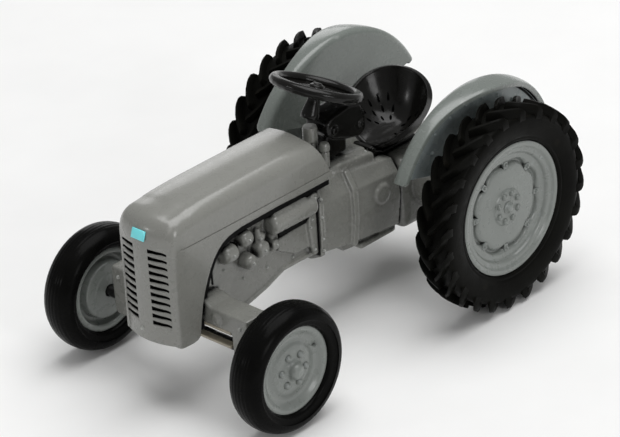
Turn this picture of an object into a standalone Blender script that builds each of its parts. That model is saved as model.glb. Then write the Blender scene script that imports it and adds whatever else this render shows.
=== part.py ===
"""Small die-cast model of a vintage farm tractor, 1:76.

Frame: +X forward, +Y the driver's left, +Z up, metres.
The origin is the centre of the model's footprint, on the ground plane.
Every length below is in millimetres, measured from the rear axle's centre
line (x = 0) and the ground (z = 0); P() moves it to the model's frame.
"""
import bpy
import bmesh
import math
from mathutils import Vector, Matrix

MM = 0.001

# ---------------------------------------------------------------- main sizes
WHEELBASE = 23.4
NOSE_X = 27.8            # front of the grille's centre bar
REAR_X = -8.6            # back of the drawbar
X_SHIFT = 9.875           # middle of the overall length

# front wheels
F_R = 4.95               # tyre radius
F_W = 2.9                # tyre width
F_Y = 9.65                # centre plane of the tyre
F_RIM = 3.3             # rim radius
# rear wheels
R_R = 8.25
R_W = 3.2
R_Y = 9.75
R_RIM = 5.25
# axle rods
ROD_F = 0.42
ROD_R = 0.6
RUN = 0.06               # running clearance of a rod in its wheel
GAP = 0.06               # gap kept between neighbouring castings

# bonnet
B_BACK = 10.6            # rear edge, at the lower corners
B_RAKE = 1.7             # the rear edge leans forward by this much to the top
B_LOW = 12.8            # lower edge of the side
B_SIDE = 2.92            # half width at the lower edge
B_TOP = 16.3            # crown at the rear
B_WALL = 0.45
GRILLE_Z0 = 5.6
GRILLE_HALF = 2.75
SLOTS = 11
SLOT_PITCH = 0.585
SLOT_H = 0.28
SLOT_W = 1.55
SLOT_DEEP = 0.28

# fenders
FEN_R = 9.5             # outside radius of the curved top
FEN_C = (-0.2, 8.0)       # centre of its arc
FEN_T = 0.42
FEN_Y = 6.4              # inner face of the side plate
FEN_A0 = 28.0            # front end, degrees above the horizontal
FEN_A1 = 152.0           # rear end
# width of the flange over the tyre, (angle, width): widest on top
FEN_WIDTH = ((28, 1.3), (58, 1.3), (74, 1.65), (86, 2.1), (98, 2.3), (108, 2.2),
             (120, 1.75), (132, 1.25), (142, 0.95), (152, 0.75))

# seat and steering
SEAT = (0.6, 0.0, 11.9)
SEAT_LIFT = 3.4          # height of the pan's rear rim
SEAT_ROLL = 0.14         # the seat sits a little low on its left
SEAT_HALF_X = 2.6
SEAT_HALF_Y = 2.85
WHEEL_C = (8.9, 0.0, 18.6)
WHEEL_R = 3.2
WHEEL_TUBE = 0.42
COL_TILT = 24.0          # lean of the column from vertical, degrees

# ---------------------------------------------------------------- start clean
for ob in list(bpy.data.objects):
    bpy.data.objects.remove(ob, do_unlink=True)
for coll in list(bpy.data.collections):
    bpy.data.collections.remove(coll)

MODEL = bpy.data.collections.new("vintage_tractor_model")
CUTTERS = bpy.data.collections.new("cutters")
bpy.context.scene.collection.children.link(MODEL)
bpy.context.scene.collection.children.link(CUTTERS)


def P(x, y, z):
    return Vector(((x - X_SHIFT) * MM, y * MM, z * MM))


# ---------------------------------------------------------------- materials
def material(name, rgb, rough, metal=0.0):
    m = bpy.data.materials.new(name)
    m.use_nodes = True
    b = m.node_tree.nodes["Principled BSDF"]
    b.inputs["Base Color"].default_value = (rgb[0], rgb[1], rgb[2], 1.0)
    b.inputs["Roughness"].default_value = rough
    b.inputs["Metallic"].default_value = metal
    return m


GREY = material("grey_enamel", (0.215, 0.215, 0.20), 0.32)
GREY_HUB = material("grey_wheel_enamel", (0.17, 0.19, 0.19), 0.35)
BLACK = material("black_plastic", (0.006, 0.006, 0.005), 0.28)
TYRE = material("tyre_vinyl", (0.008, 0.008, 0.007), 0.45)
ROD = material("blackened_rod", (0.01, 0.01, 0.01), 0.4, 0.6)
BADGE = material("badge_enamel", (0.16, 0.80, 0.86), 0.35)


# ---------------------------------------------------------------- helpers
def place(ob, coll, mat=None):
    for c in list(ob.users_collection):
        c.objects.unlink(ob)
    coll.objects.link(ob)
    if mat is not None:
        ob.data.materials.clear()
        ob.data.materials.append(mat)
    return ob


def from_bm(bm, name, mat, coll=None, recalc=True):
    if recalc:
        bmesh.ops.recalc_face_normals(bm, faces=bm.faces[:])
    me = bpy.data.meshes.new(name)
    bm.to_mesh(me)
    bm.free()
    ob = bpy.data.objects.new(name, me)
    (coll or MODEL).objects.link(ob)
    if mat is not None:
        me.materials.append(mat)
    return ob


def bevel(ob, width, segments=2, angle=35):
    m = ob.modifiers.new("bevel", "BEVEL")
    m.width = width * MM
    m.segments = segments
    m.limit_method = "ANGLE"
    m.angle_limit = math.radians(angle)
    return ob


def smooth(ob, angle=35):
    ob.data.shade_smooth()
    ob.data.set_sharp_from_angle(angle=math.radians(angle))
    return ob


def box(name, lo, hi, mat=GREY, coll=None, bev=0.0, seg=2):
    """Box between two corners, in millimetres."""
    bm = bmesh.new()
    bmesh.ops.create_cube(bm, size=1.0)
    c = [(a + b) / 2 for a, b in zip(lo, hi)]
    s = [abs(b - a) for a, b in zip(lo, hi)]
    bmesh.ops.scale(bm, vec=[v * MM for v in s], verts=bm.verts[:])
    ob = from_bm(bm, name, mat, coll, recalc=False)
    ob.location = P(*c)
    if bev:
        bevel(ob, bev, seg)
    return ob


AXIS_ROT = {
    "Z": Matrix.Identity(4),
    "X": Matrix.Rotation(math.radians(90), 4, "Y"),
    "Y": Matrix.Rotation(math.radians(-90), 4, "X"),
}


def cyl(name, c, r, length, axis="Y", mat=GREY, coll=None, seg=24, bev=0.0,
        r2=None, bseg=2, rot=None):
    """Cylinder or cone about c, along axis, r at the low end."""
    bm = bmesh.new()
    bmesh.ops.create_cone(bm, cap_ends=True, cap_tris=False, segments=seg,
                          radius1=r * MM, radius2=(r if r2 is None else r2) * MM,
                          depth=length * MM)
    bmesh.ops.transform(bm, matrix=rot if rot is not None else AXIS_ROT[axis],
                        verts=bm.verts[:])
    ob = from_bm(bm, name, mat, coll, recalc=False)
    ob.location = P(*c)
    if bev:
        bevel(ob, bev, bseg)
    return smooth(ob)


def turned(name, profile, centre, mat, steps, flip=False, coll=None):
    """A profile of (radius, offset) pairs turned about the Y axis through
    centre. The offset grows towards +Y, or towards -Y when flip is set."""
    bm = bmesh.new()
    vs = [bm.verts.new((r * MM, 0.0, o * MM)) for r, o in profile]
    for a, b in zip(vs, vs[1:]):
        bm.edges.new((a, b))
    if profile[0][0] > 1e-6:          # a ring closes on itself
        bm.edges.new((vs[-1], vs[0]))
    me = bpy.data.meshes.new(name)
    bm.to_mesh(me)
    bm.free()
    ob = bpy.data.objects.new(name, me)
    (coll or MODEL).objects.link(ob)
    me.materials.append(mat)
    s = ob.modifiers.new("turn", "SCREW")
    s.axis = "Z"
    s.angle = math.radians(360)
    s.steps = steps
    s.render_steps = steps
    s.use_merge_vertices = True
    s.merge_threshold = 1e-6
    s.use_normal_calculate = True
    s.use_smooth_shade = True
    dg = bpy.context.evaluated_depsgraph_get()
    solid = bpy.data.meshes.new_from_object(ob.evaluated_get(dg))
    ob.modifiers.clear()
    bm = bmesh.new()
    bm.from_mesh(solid)
    bmesh.ops.recalc_face_normals(bm, faces=bm.faces[:])
    bm.to_mesh(solid)
    bm.free()
    ob.data = solid
    bpy.data.meshes.remove(me)
    solid.name = name
    ob.rotation_euler = (math.radians(90 if flip else -90), 0.0, 0.0)
    ob.location = P(*centre)
    return smooth(ob, 40)


def outline(name, pts, y0, y1, mat=GREY, coll=None, bev=0.0, seg=2, plane="XZ"):
    """A closed outline in the XZ (or YZ, XY) plane, made thick between two
    stations of the third axis."""
    cu = bpy.data.curves.new(name, "CURVE")
    cu.dimensions = "2D"
    cu.fill_mode = "BOTH"
    cu.extrude = abs(y1 - y0) * 0.5 * MM
    sp = cu.splines.new("POLY")
    sp.points.add(len(pts) - 1)
    for p, (a, b) in zip(sp.points, pts):
        p.co = (a * MM, b * MM, 0.0, 1.0)
    sp.use_cyclic_u = True
    tmp = bpy.data.objects.new(name + "_outline", cu)
    bpy.context.scene.collection.objects.link(tmp)
    dg = bpy.context.evaluated_depsgraph_get()
    me = bpy.data.meshes.new_from_object(tmp.evaluated_get(dg))
    bpy.data.objects.remove(tmp, do_unlink=True)
    bpy.data.curves.remove(cu)
    bm = bmesh.new()
    bm.from_mesh(me)
    bpy.data.meshes.remove(me)
    bmesh.ops.remove_doubles(bm, verts=bm.verts[:], dist=1e-7)
    mid = (y0 + y1) / 2 * MM
    if plane == "XZ":       # local x -> X, local y -> Z, local z -> -Y
        M = Matrix(((1, 0, 0, -X_SHIFT * MM), (0, 0, -1, mid), (0, 1, 0, 0), (0, 0, 0, 1)))
    elif plane == "YZ":     # local x -> Y, local y -> Z, local z -> X
        M = Matrix(((0, 0, 1, mid - X_SHIFT * MM), (1, 0, 0, 0), (0, 1, 0, 0), (0, 0, 0, 1)))
    else:                   # XY
        M = Matrix(((1, 0, 0, -X_SHIFT * MM), (0, 1, 0, 0), (0, 0, 1, mid), (0, 0, 0, 1)))
    bmesh.ops.transform(bm, matrix=M, verts=bm.verts[:])
    bmesh.ops.recalc_face_normals(bm, faces=bm.faces[:])
    # flat caps come as triangles; merge them to clean polygons
    bmesh.ops.dissolve_limit(bm, angle_limit=math.radians(0.5),
                             verts=bm.verts[:], edges=bm.edges[:])
    ob = from_bm(bm, name, mat, coll)
    if bev:
        bevel(ob, bev, seg)
    return ob


def loft(name, rings, mat=GREY, coll=None, cap=True):
    """Skin over closed rings of equal count, each a list of (x, y, z) mm."""
    bm = bmesh.new()
    loops = [[bm.verts.new(P(*p)) for p in ring] for ring in rings]
    n = len(loops[0])
    for a, b in zip(loops, loops[1:]):
        for i in range(n):
            j = (i + 1) % n
            bm.faces.new((a[i], a[j], b[j], b[i]))
    if cap:
        bm.faces.new(loops[0][::-1])
        bm.faces.new(loops[-1])
    bmesh.ops.recalc_face_normals(bm, faces=bm.faces[:])
    return from_bm(bm, name, mat, coll)


def boolean(ob, other, op="UNION", keep=False):
    m = ob.modifiers.new(op.lower(), "BOOLEAN")
    m.operation = op
    m.object = other
    m.solver = "EXACT"
    dg = bpy.context.evaluated_depsgraph_get()
    me = bpy.data.meshes.new_from_object(ob.evaluated_get(dg))
    ob.modifiers.clear()
    old = ob.data
    ob.data = me
    if old.users == 0:
        bpy.data.meshes.remove(old)
    if not keep:
        bpy.data.objects.remove(other, do_unlink=True)
    return ob


def unite(ob, *others):
    for o in others:
        boolean(ob, o, "UNION")
    bm = bmesh.new()
    bm.from_mesh(ob.data)
    bmesh.ops.dissolve_limit(bm, angle_limit=math.radians(0.5),
                             verts=bm.verts[:], edges=bm.edges[:])
    bm.to_mesh(ob.data)
    bm.free()
    return smooth(ob)


def cut(ob, *others):
    for o in others:
        boolean(ob, o, "DIFFERENCE")
    return ob


def arc(cx, cz, r, a0, a1, n):
    return [(cx + r * math.cos(math.radians(a0 + (a1 - a0) * i / n)),
             cz + r * math.sin(math.radians(a0 + (a1 - a0) * i / n)))
            for i in range(n + 1)]


# ---------------------------------------------------------------- wheels
def front_wheel(side, s):
    c = (WHEELBASE, s * F_Y, F_R)
    flip = s < 0
    w = F_W / 2
    ty = []
    n = 8                                    # rounded tread, flat side walls
    ty.append((F_RIM + 0.06, w * 0.62))
    ty.append((F_RIM + 0.06, -w * 0.62))
    ty.append((F_RIM + 0.35, -w * 0.86))
    for i in range(n + 1):
        a = -1 + 2 * i / n
        ty.append((F_R - 0.95 * (1 - math.sqrt(max(0.0, 1 - abs(a) ** 2.3))), w * a))
    ty.append((F_RIM + 0.35, w * 0.86))
    turned(side + "_front_tyre", ty, c, TYRE, 32, flip)
    # rim: outer lip, dish, raised hub plate and cap; drum on the inside
    rim = [(0.0, 1.02), (0.55, 0.98), (0.62, 0.72), (1.55, 0.70), (1.72, 0.50),
           (2.55, 0.46), (2.75, 0.66), (2.95, 0.82), (F_RIM, 0.86),
           (F_RIM, -0.86), (2.72, -0.86), (2.62, -0.20), (2.30, -0.20), (2.20, -0.95),
           (ROD_F + RUN, -0.95), (ROD_F + RUN, 0.20), (0.0, 0.20)]
    turned(side + "_front_rim", rim, c, GREY_HUB, 32, flip)


def rear_wheel(side, s):
    c = (0.0, s * R_Y, R_R)
    flip = s < 0
    w = R_W / 2
    ty = [(R_RIM + 0.06, w * 0.66), (R_RIM + 0.06, -w * 0.66), (R_RIM + 0.5, -w * 0.84),
          (6.6, -w * 0.97)]
    n = 6
    for i in range(n + 1):
        a = -1 + 2 * i / n
        ty.append((R_R - 0.62 * (1 - math.sqrt(max(0.0, 1 - abs(a) ** 3.0))), w * a))
    ty += [(6.6, w * 0.97), (R_RIM + 0.5, w * 0.84)]
    turned(side + "_rear_tyre", ty, c, TYRE, 40, flip)
    rim = [(0.0, 1.05), (0.62, 1.0), (0.66, 0.62), (1.45, 0.60), (1.50, 0.40),
           (3.30, 0.40), (3.42, 0.62), (4.15, 0.62), (4.45, 0.95), (4.75, 1.22),
           (R_RIM, 1.28), (R_RIM, -1.28), (4.72, -1.28), (4.4, -0.5), (3.3, -0.2),
           (1.6, -0.2), (1.5, -0.85), (ROD_R + RUN, -0.85), (ROD_R + RUN, 0.1), (0.0, 0.1)]
    turned(side + "_rear_rim", rim, c, GREY_HUB, 40, flip)


for side, s in (("left", 1), ("right", -1)):
    front_wheel(side, s)
    rear_wheel(side, s)

# rods that carry the wheels, fixed in the castings
cyl("front_axle_rod", (WHEELBASE, 0, F_R), ROD_F, 2 * (F_Y + 0.05), "Y", ROD, seg=20)
cyl("rear_axle_rod", (0, 0, R_R), ROD_R, 2 * (R_Y - 0.05), "Y", ROD, seg=24)


# ---------------------------------------------------------------- bonnet
def bonnet_ring(x, half, top, low, r_sh, sweep=0.0, rake=0.0, n=6, crown=0.22):
    """Cross-section from the lower left edge over the crown to the lower
    right edge. r_sh rounds the shoulders, crown lifts the centre line, sweep
    draws the sides back and rake draws the top forward."""
    tuck = 0.16
    side_top = top - crown - r_sh
    pts = [(half, low), (half, low + 0.5), (half - 0.05, (low + side_top) / 2 + 0.2)]
    for i in range(n + 1):
        a = math.radians(90.0 * i / n)
        pts.append((half - tuck - r_sh + r_sh * math.cos(a), side_top + r_sh * math.sin(a)))
    pts.append(((half - tuck - r_sh) * 0.5, top - crown * 0.25))
    pts.append((0.0, top))
    full = pts + [(-y, z) for y, z in pts[-2::-1]]
    return [(x - sweep * (abs(y) / half) ** 2 + rake * (z - low) / (top - low), y, z)
            for y, z in full]


BONNET_STATIONS = [
    # x, half width, top, lower edge, shoulder radius, sweep
    (B_BACK, B_SIDE, B_TOP, B_LOW, 1.25, 0.0),
    (14.0, B_SIDE, B_TOP, B_LOW, 1.25, 0.0),
    (19.0, B_SIDE, B_TOP - 0.03, B_LOW, 1.2, 0.0),
    (21.1, B_SIDE, B_TOP - 0.06, B_LOW - 0.1, 1.15, 0.0),
    (22.3, B_SIDE, B_TOP - 0.09, 12.35, 1.15, 0.0),
    (23.3, B_SIDE, B_TOP - 0.13, 11.4, 1.15, 0.0),
    (24.1, B_SIDE, B_TOP - 0.18, 10.0, 1.1, 0.0),
    (24.75, B_SIDE, B_TOP - 0.24, 8.2, 1.1, 0.0),
    (25.2, B_SIDE, B_TOP - 0.3, GRILLE_Z0 + 0.25, 1.1, 0.0),
    (25.9, B_SIDE - 0.01, B_TOP - 0.42, GRILLE_Z0, 1.05, 0.05),
    (26.7, B_SIDE - 0.05, B_TOP - 0.72, GRILLE_Z0, 1.0, 0.22),
    (27.2, B_SIDE - 0.10, B_TOP - 1.10, GRILLE_Z0, 0.95, 0.40),
    (27.55, B_SIDE - 0.17, B_TOP - 1.58, GRILLE_Z0 + 0.02, 0.85, 0.52),
    (27.74, B_SIDE - 0.27, B_TOP - 2.05, GRILLE_Z0 + 0.07, 0.75, 0.58),
    (NOSE_X, B_SIDE - 0.40, B_TOP - 2.40, GRILLE_Z0 + 0.16, 0.70, 0.60),
]
rings = []
for k, (x, half, top, low, r, sw) in enumerate(BONNET_STATIONS):
    rings.append(bonnet_ring(x, half, top, low, r, sw, B_RAKE if k == 0 else 0.0))

# skin over the stations; the front is closed by rows bowed like the grille
bm = bmesh.new()
loops = [[bm.verts.new(P(*p)) for p in ring] for ring in rings]
n = len(loops[0])
for la, lb in zip(loops[:-1], loops[1:]):
    for i in range(n):
        if i == n - 1 and lb is loops[-1]:
            continue
        bm.faces.new((la[i], la[(i + 1) % n], lb[(i + 1) % n], lb[i]))
bm.faces.new(loops[0][::-1])
last, half, sw = rings[-1], B_SIDE - 0.40, 0.60
mid = (n - 1) // 2
rows = []
for i in range(mid):
    y0, z0 = last[i][1], last[i][2]
    row = [loops[-1][i]]
    for f in (0.66, 0.33, 0.0, -0.33, -0.66):
        row.append(bm.verts.new(P(NOSE_X - sw * (abs(y0 * f) / half) ** 2, y0 * f, z0)))
    row.append(loops[-1][n - 1 - i])
    rows.append(row)
for ra, rb in zip(rows, rows[1:]):
    for k in range(6):
        bm.faces.new((ra[k], ra[k + 1], rb[k + 1], rb[k]))
bm.faces.new(rows[-1][::-1] + [loops[-1][mid]])
bm.faces.new([loops[-2][0]] + rows[0] + [loops[-2][n - 1]])
outer = from_bm(bm, "bonnet", GREY)

# hollow: the same stations taken in by the wall, running out of the bottom
hollow = []
for x, half, top, low, r, sw in BONNET_STATIONS[:-3]:
    first = x == B_BACK
    ring = bonnet_ring(x + (0.7 if first else 0.0) - (0.35 if x > 25.5 else 0.0),
                       half - B_WALL, top - B_WALL, low, max(0.3, r - B_WALL), 0.0,
                       B_RAKE if first else 0.0)
    for k in (0, -1):
        ring[k] = (ring[k][0], ring[k][1], ring[k][2] - 2.0)
    hollow.append(ring)
cut(outer, loft("bonnet_hollow", hollow, coll=CUTTERS))

# grille louvres, two columns swept back from the centre bar
GR_TOP = 13.3
GR_Y0 = 0.72
SWEEP = math.atan(2 * 0.60 * 1.5 / (B_SIDE - 0.40) ** 2)
for sgn in (1, -1):
    for k in range(SLOTS):
        z = GR_TOP - SLOT_PITCH * k
        yc = sgn * (GR_Y0 + SLOT_W / 2)
        xc = NOSE_X - 0.60 * (abs(yc) / (B_SIDE - 0.40)) ** 2 - SLOT_DEEP + 0.6
        bm = bmesh.new()
        bmesh.ops.create_cube(bm, size=1.0)
        bmesh.ops.scale(bm, vec=(1.2 * MM, SLOT_W * MM, SLOT_H * MM), verts=bm.verts[:])
        bmesh.ops.rotate(bm, cent=(0, 0, 0), matrix=Matrix.Rotation(-sgn * SWEEP, 3, "Z"),
                         verts=bm.verts[:])
        bmesh.ops.translate(bm, vec=P(xc, yc, z), verts=bm.verts[:])
        cut(outer, from_bm(bm, "slot", None, CUTTERS))
smooth(outer, 30)
outer.data.materials.clear()
outer.data.materials.append(GREY)

# badge on the nose, lying on its slope
bg = box("grille_badge", (-0.06, -0.68, -0.40), (0.06, 0.68, 0.40), BADGE, bev=0.03, seg=1)
bg.rotation_euler = (0.0, math.radians(-20.0), 0.0)
bg.location = P(27.79, 0.0, 14.42)

# ---------------------------------------------------------------- chassis castings
# engine: block and sump, stepped over the axle beam at the front
block_side = [(12.05, 6.55), (13.8, 6.6), (15.4, 6.6), (17.3, 5.9), (19.2, 5.45), (22.1, 5.45),
              (22.2, 8.2), (24.5, 8.2), (24.2, 9.8), (23.0, 11.7), (21.6, 12.5), (12.05, 12.5)]
eng = outline("engine_block", block_side, -1.8, 1.8, GREY, bev=0.22)
head = box("eng_head", (13.0, -1.4, 12.3), (22.6, 1.4, 14.6), GREY, CUTTERS, bev=0.2)
unite(eng, head)

# radiator core behind the grille, its side plates show in the bonnet's arch
box("radiator", (24.75, -2.2, 5.9), (25.5, 2.2, 14.4), GREY, bev=0.15)

# gearbox: bell housing, rib and box, tapering back to the axle casting


def section(x, pts):
    return [(x, y, z) for y, z in pts] + [(x, -y, z) for y, z in pts[::-1]]


bell = loft("gearbox_housing", [
    section(11.98, ((1.2, 6.1), (2.3, 6.7), (2.5, 8.4), (2.45, 10.8), (1.8, 12.4))),
    section(8.1, ((1.1, 5.3), (2.2, 6.0), (2.45, 8.2), (2.4, 10.4), (1.7, 11.7))),
    section(3.1, ((1.2, 4.9), (2.2, 5.5), (2.5, 7.9), (2.4, 10.0), (1.7, 11.0))),
])
rib = loft("bell_rib", [section(x, ((1.2, 5.0), (2.42, 5.8), (2.72, 8.2), (2.64, 10.6), (1.85, 11.95)))
                        for x in (7.85, 8.4)], coll=CUTTERS)
flange = loft("bell_flange", [section(x, ((1.3, 5.9), (2.55, 6.5), (2.8, 8.4), (2.72, 11.0), (1.9, 12.6)))
                              for x in (11.5, 11.98)], coll=CUTTERS)
cover = box("gear_cover", (4.6, -1.5, 10.5), (9.6, 1.5, 12.6), GREY, CUTTERS, bev=0.25)
unite(bell, rib, flange, cover)

# rear axle casting: centre housing with a trumpet and brake drum each side
ax = box("rear_axle_housing", (-3.0, -2.6, 4.8), (3.04, 2.6, 10.9), GREY, bev=0.7, seg=3)
for s in (1, -1):
    t = cyl("trumpet", (0, s * 4.45, R_R), 1.9 if s > 0 else 1.25, 4.3, "Y", GREY, CUTTERS, 28,
            r2=1.25 if s > 0 else 1.9)
    boolean(ax, t)
    d = cyl("drum", (0, s * 7.15, R_R), 2.05, 1.4, "Y", GREY, CUTTERS, 32)
    boolean(ax, d)
unite(ax)
cut(ax, cyl("axle_bore", (0, 0, R_R), ROD_R + GAP, 20, "Y", GREY, CUTTERS, 24))
smooth(ax)

# ---------------------------------------------------------------- engine fittings
cyl("manifold", (14.6, 2.55, 11.2), 0.7, 4.6, "X", GREY, seg=20, bev=0.12)
cyl("dynamo", (21.3, 2.5, 10.9), 0.62, 1.5, "X", GREY, seg=20, bev=0.12)
cyl("oil_filter", (19.4, 2.5, 9.4), 0.68, 1.3, "Y", GREY, seg=20, bev=0.14)
box("carburettor", (17.3, 1.9, 9.0), (18.6, 3.0, 10.4), GREY, bev=0.2)
cyl("air_cleaner", (19.55, 2.47, 11.35), 0.6, 1.3, "X", GREY, seg=18, bev=0.12)
# the far side carries the exhaust manifold and the starter
cyl("exhaust_manifold", (17.0, -2.5, 11.3), 0.6, 7.4, "X", GREY, seg=20, bev=0.12)
cyl("starter_motor", (14.2, -2.5, 8.6), 0.62, 3.2, "X", GREY, seg=20, bev=0.12)

# ---------------------------------------------------------------- front axle
BEAM_Y0, BEAM_Y1 = 5.35, 7.0       # end plates that carry the rod
beam_pts = [(-BEAM_Y1, 8.1), (BEAM_Y1, 8.1), (BEAM_Y1, 4.1), (BEAM_Y0, 4.1), (BEAM_Y0, 6.55),
            (-BEAM_Y0, 6.55), (-BEAM_Y0, 4.1), (-BEAM_Y1, 4.1)]
beam = outline("front_axle_beam", beam_pts, 22.3, 24.5, GREY, plane="YZ", bev=0.18)
cut(beam, cyl("beam_bore", (WHEELBASE, 0, F_R), ROD_F + GAP, 20, "Y", GREY, CUTTERS, 20))
smooth(beam)

# ---------------------------------------------------------------- fenders
def flange_width(a):
    for (a0, w0), (a1, w1) in zip(FEN_WIDTH, FEN_WIDTH[1:]):
        if a <= a1:
            return w0 + (w1 - w0) * (a - a0) / (a1 - a0)
    return FEN_WIDTH[-1][1]


def fender(side, s):
    rings = []
    n = 22
    for i in range(n + 1):
        a = FEN_A0 + (FEN_A1 - FEN_A0) * i / n
        ca, sa = math.cos(math.radians(a)), math.sin(math.radians(a))
        # lower edge: straight from each end towards the brake drum
        lean = 0.26 * abs(ca)
        r_in = 2.3 / (sa - lean) if sa > lean + 0.05 else FEN_R
        r_in = min(max(r_in, 2.5), FEN_R - 0.75)
        w = flange_width(a)
        rc = 0.45
        drop = 0.10 * w
        sec = [(r_in, 0.0), (FEN_R - rc, 0.0)]
        for k in range(1, 4):
            b = math.radians(90 * k / 4)
            sec.append((FEN_R - rc + rc * math.sin(b), rc - rc * math.cos(b)))
        sec += [(FEN_R, rc), (FEN_R - drop, w), (FEN_R - drop - FEN_T, w),
                (FEN_R - FEN_T, rc + 0.05), (FEN_R - rc - 0.15, FEN_T), (r_in, FEN_T)]
        rings.append([(FEN_C[0] + r * ca, s * (FEN_Y + y), FEN_C[1] + r * sa) for r, y in sec])
    ob = loft(side + "_fender", rings)
    return smooth(ob, 40)


for side, s in (("left", 1), ("right", -1)):
    fender(side, s)

# ---------------------------------------------------------------- seat
def seat():
    rows, cols = 5, 24
    sx, sy, sz = SEAT
    bm = bmesh.new()
    centre = bm.verts.new(P(sx, sy, sz))
    rings = []
    for r in range(1, rows + 1):
        t = r / rows
        ring = []
        for c in range(cols):
            th = 2 * math.pi * c / cols
            ct, st = math.cos(th), math.sin(th)
            lift = SEAT_LIFT * (0.5 - 0.5 * ct) ** 0.6 - 0.1
            sq = 0.85 if ct >= 0 else 1.0      # square in front, round behind
            ex = abs(ct) ** sq * (1 if ct >= 0 else -1)
            ey = abs(st) ** sq * (1 if st >= 0 else -1)
            x = sx + SEAT_HALF_X * ex * t
            y = sy + SEAT_HALF_Y * ey * t
            z = sz + lift * t ** 2.6 - y * SEAT_ROLL
            ring.append(bm.verts.new(P(x, y, z)))
        rings.append(ring)
    for c in range(cols):
        bm.faces.new((centre, rings[0][c], rings[0][(c + 1) % cols]))
    for a, b in zip(rings, rings[1:]):
        for c in range(cols):
            d = (c + 1) % cols
            bm.faces.new((a[c], b[c], b[d], a[d]))
    ob = from_bm(bm, "seat", BLACK, recalc=False)
    so = ob.modifiers.new("thick", "SOLIDIFY")
    so.thickness = 0.42 * MM
    so.offset = -1.0
    so.use_even_offset = False
    return smooth(ob, 60)


seat()
# spring bracket under the seat, down to the axle casting
outline("seat_bracket", [(-0.6, 10.95), (3.0, 10.95), (3.25, 11.13), (4.5, 11.31), (4.5, 12.05),
                         (4.1, 12.05), (3.95, 11.55), (3.3, 11.35), (3.1, 11.2), (-0.6, 11.2)],
        -0.85, 0.85, BLACK, bev=0.06)

# ---------------------------------------------------------------- steering
T = math.radians(COL_TILT)
NRM = Vector((-math.sin(T), 0.0, math.cos(T)))
TILT_M = Matrix.Rotation(-T, 4, "Y")


def on_col(d):
    """Point on the column's axis, d above the wheel's centre."""
    return (WHEEL_C[0] + NRM.x * d, WHEEL_C[1], WHEEL_C[2] + NRM.z * d)


cyl("steering_column", on_col(-1.35), 0.72, 1.9, rot=TILT_M, mat=BLACK, seg=20, r2=0.45, bev=0.08)
# upright grey casting the column stands on
PILLAR_X = 9.9
cyl("column_tube", (PILLAR_X, 0.0, 14.4), 0.6, 2.9, "Z", GREY, seg=20, bev=0.1)
bpy.ops.mesh.primitive_torus_add(major_radius=WHEEL_R * MM, minor_radius=WHEEL_TUBE * MM,
                                 major_segments=32, minor_segments=8)
sw = bpy.context.object
sw.name = "steering_wheel"
sw.data.name = "steering_wheel"
place(sw, MODEL, BLACK)
sw.matrix_world = Matrix.Translation(P(*WHEEL_C)) @ TILT_M
hub = cyl("wheel_hub", on_col(0.0), 0.62, 0.7, rot=TILT_M, mat=BLACK, coll=CUTTERS, seg=20)
parts = [hub]
for k in range(4):
    ang = math.radians(45 + 90 * k)
    m = TILT_M @ Matrix.Rotation(ang, 4, "Z") @ Matrix.Rotation(math.radians(90), 4, "Y")
    mid = TILT_M @ Matrix.Rotation(ang, 4, "Z") @ Vector((WHEEL_R * 0.5, 0, 0))
    c = (WHEEL_C[0] + mid.x, WHEEL_C[1] + mid.y, WHEEL_C[2] + mid.z)
    parts.append(cyl("spoke", c, 0.2, WHEEL_R - 0.1, rot=m, mat=BLACK, coll=CUTTERS, seg=10))
bpy.context.view_layer.update()
# bake the placing into the mesh, then join rim, hub and spokes
me = sw.data
me.transform(sw.matrix_world)
sw.matrix_world = Matrix.Identity(4)
unite(sw, *parts)

# black housing behind the column, and the grey tap beside it
ped = loft("steering_pedestal", [
    [(5.6, -0.9, 12.72), (9.1, -0.9, 12.72), (9.1, 0.55, 12.72), (5.6, 0.9, 12.72)],
    [(5.9, -1.1, 14.2), (9.2, -1.1, 14.9), (9.2, 0.6, 14.9), (5.9, 1.1, 14.2)],
    [(6.5, -0.95, 15.5), (8.4, -0.95, 16.3), (8.4, 0.6, 16.3), (6.5, 0.95, 15.5)],
], BLACK)
bevel(ped, 0.2, 2)
cyl("fuel_tap", (9.65, 1.16, 13.75), 0.42, 2.0, "Z", GREY, seg=16, bev=0.16)

# ---------------------------------------------------------------- rear drawbar
outline("drawbar", [(-3.06, -0.6), (-3.06, 0.6), (REAR_X + 0.9, 0.9), (REAR_X + 0.2, 0.7),
                    (REAR_X, 0.3), (REAR_X, -0.3), (REAR_X + 0.2, -0.7), (REAR_X + 0.9, -0.9)],
        5.2, 5.9, GREY, plane="XY", bev=0.1)

# ---------------------------------------------------------------- tidy
for ob in list(CUTTERS.objects):
    bpy.data.objects.remove(ob, do_unlink=True)
bpy.data.collections.remove(CUTTERS)
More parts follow.
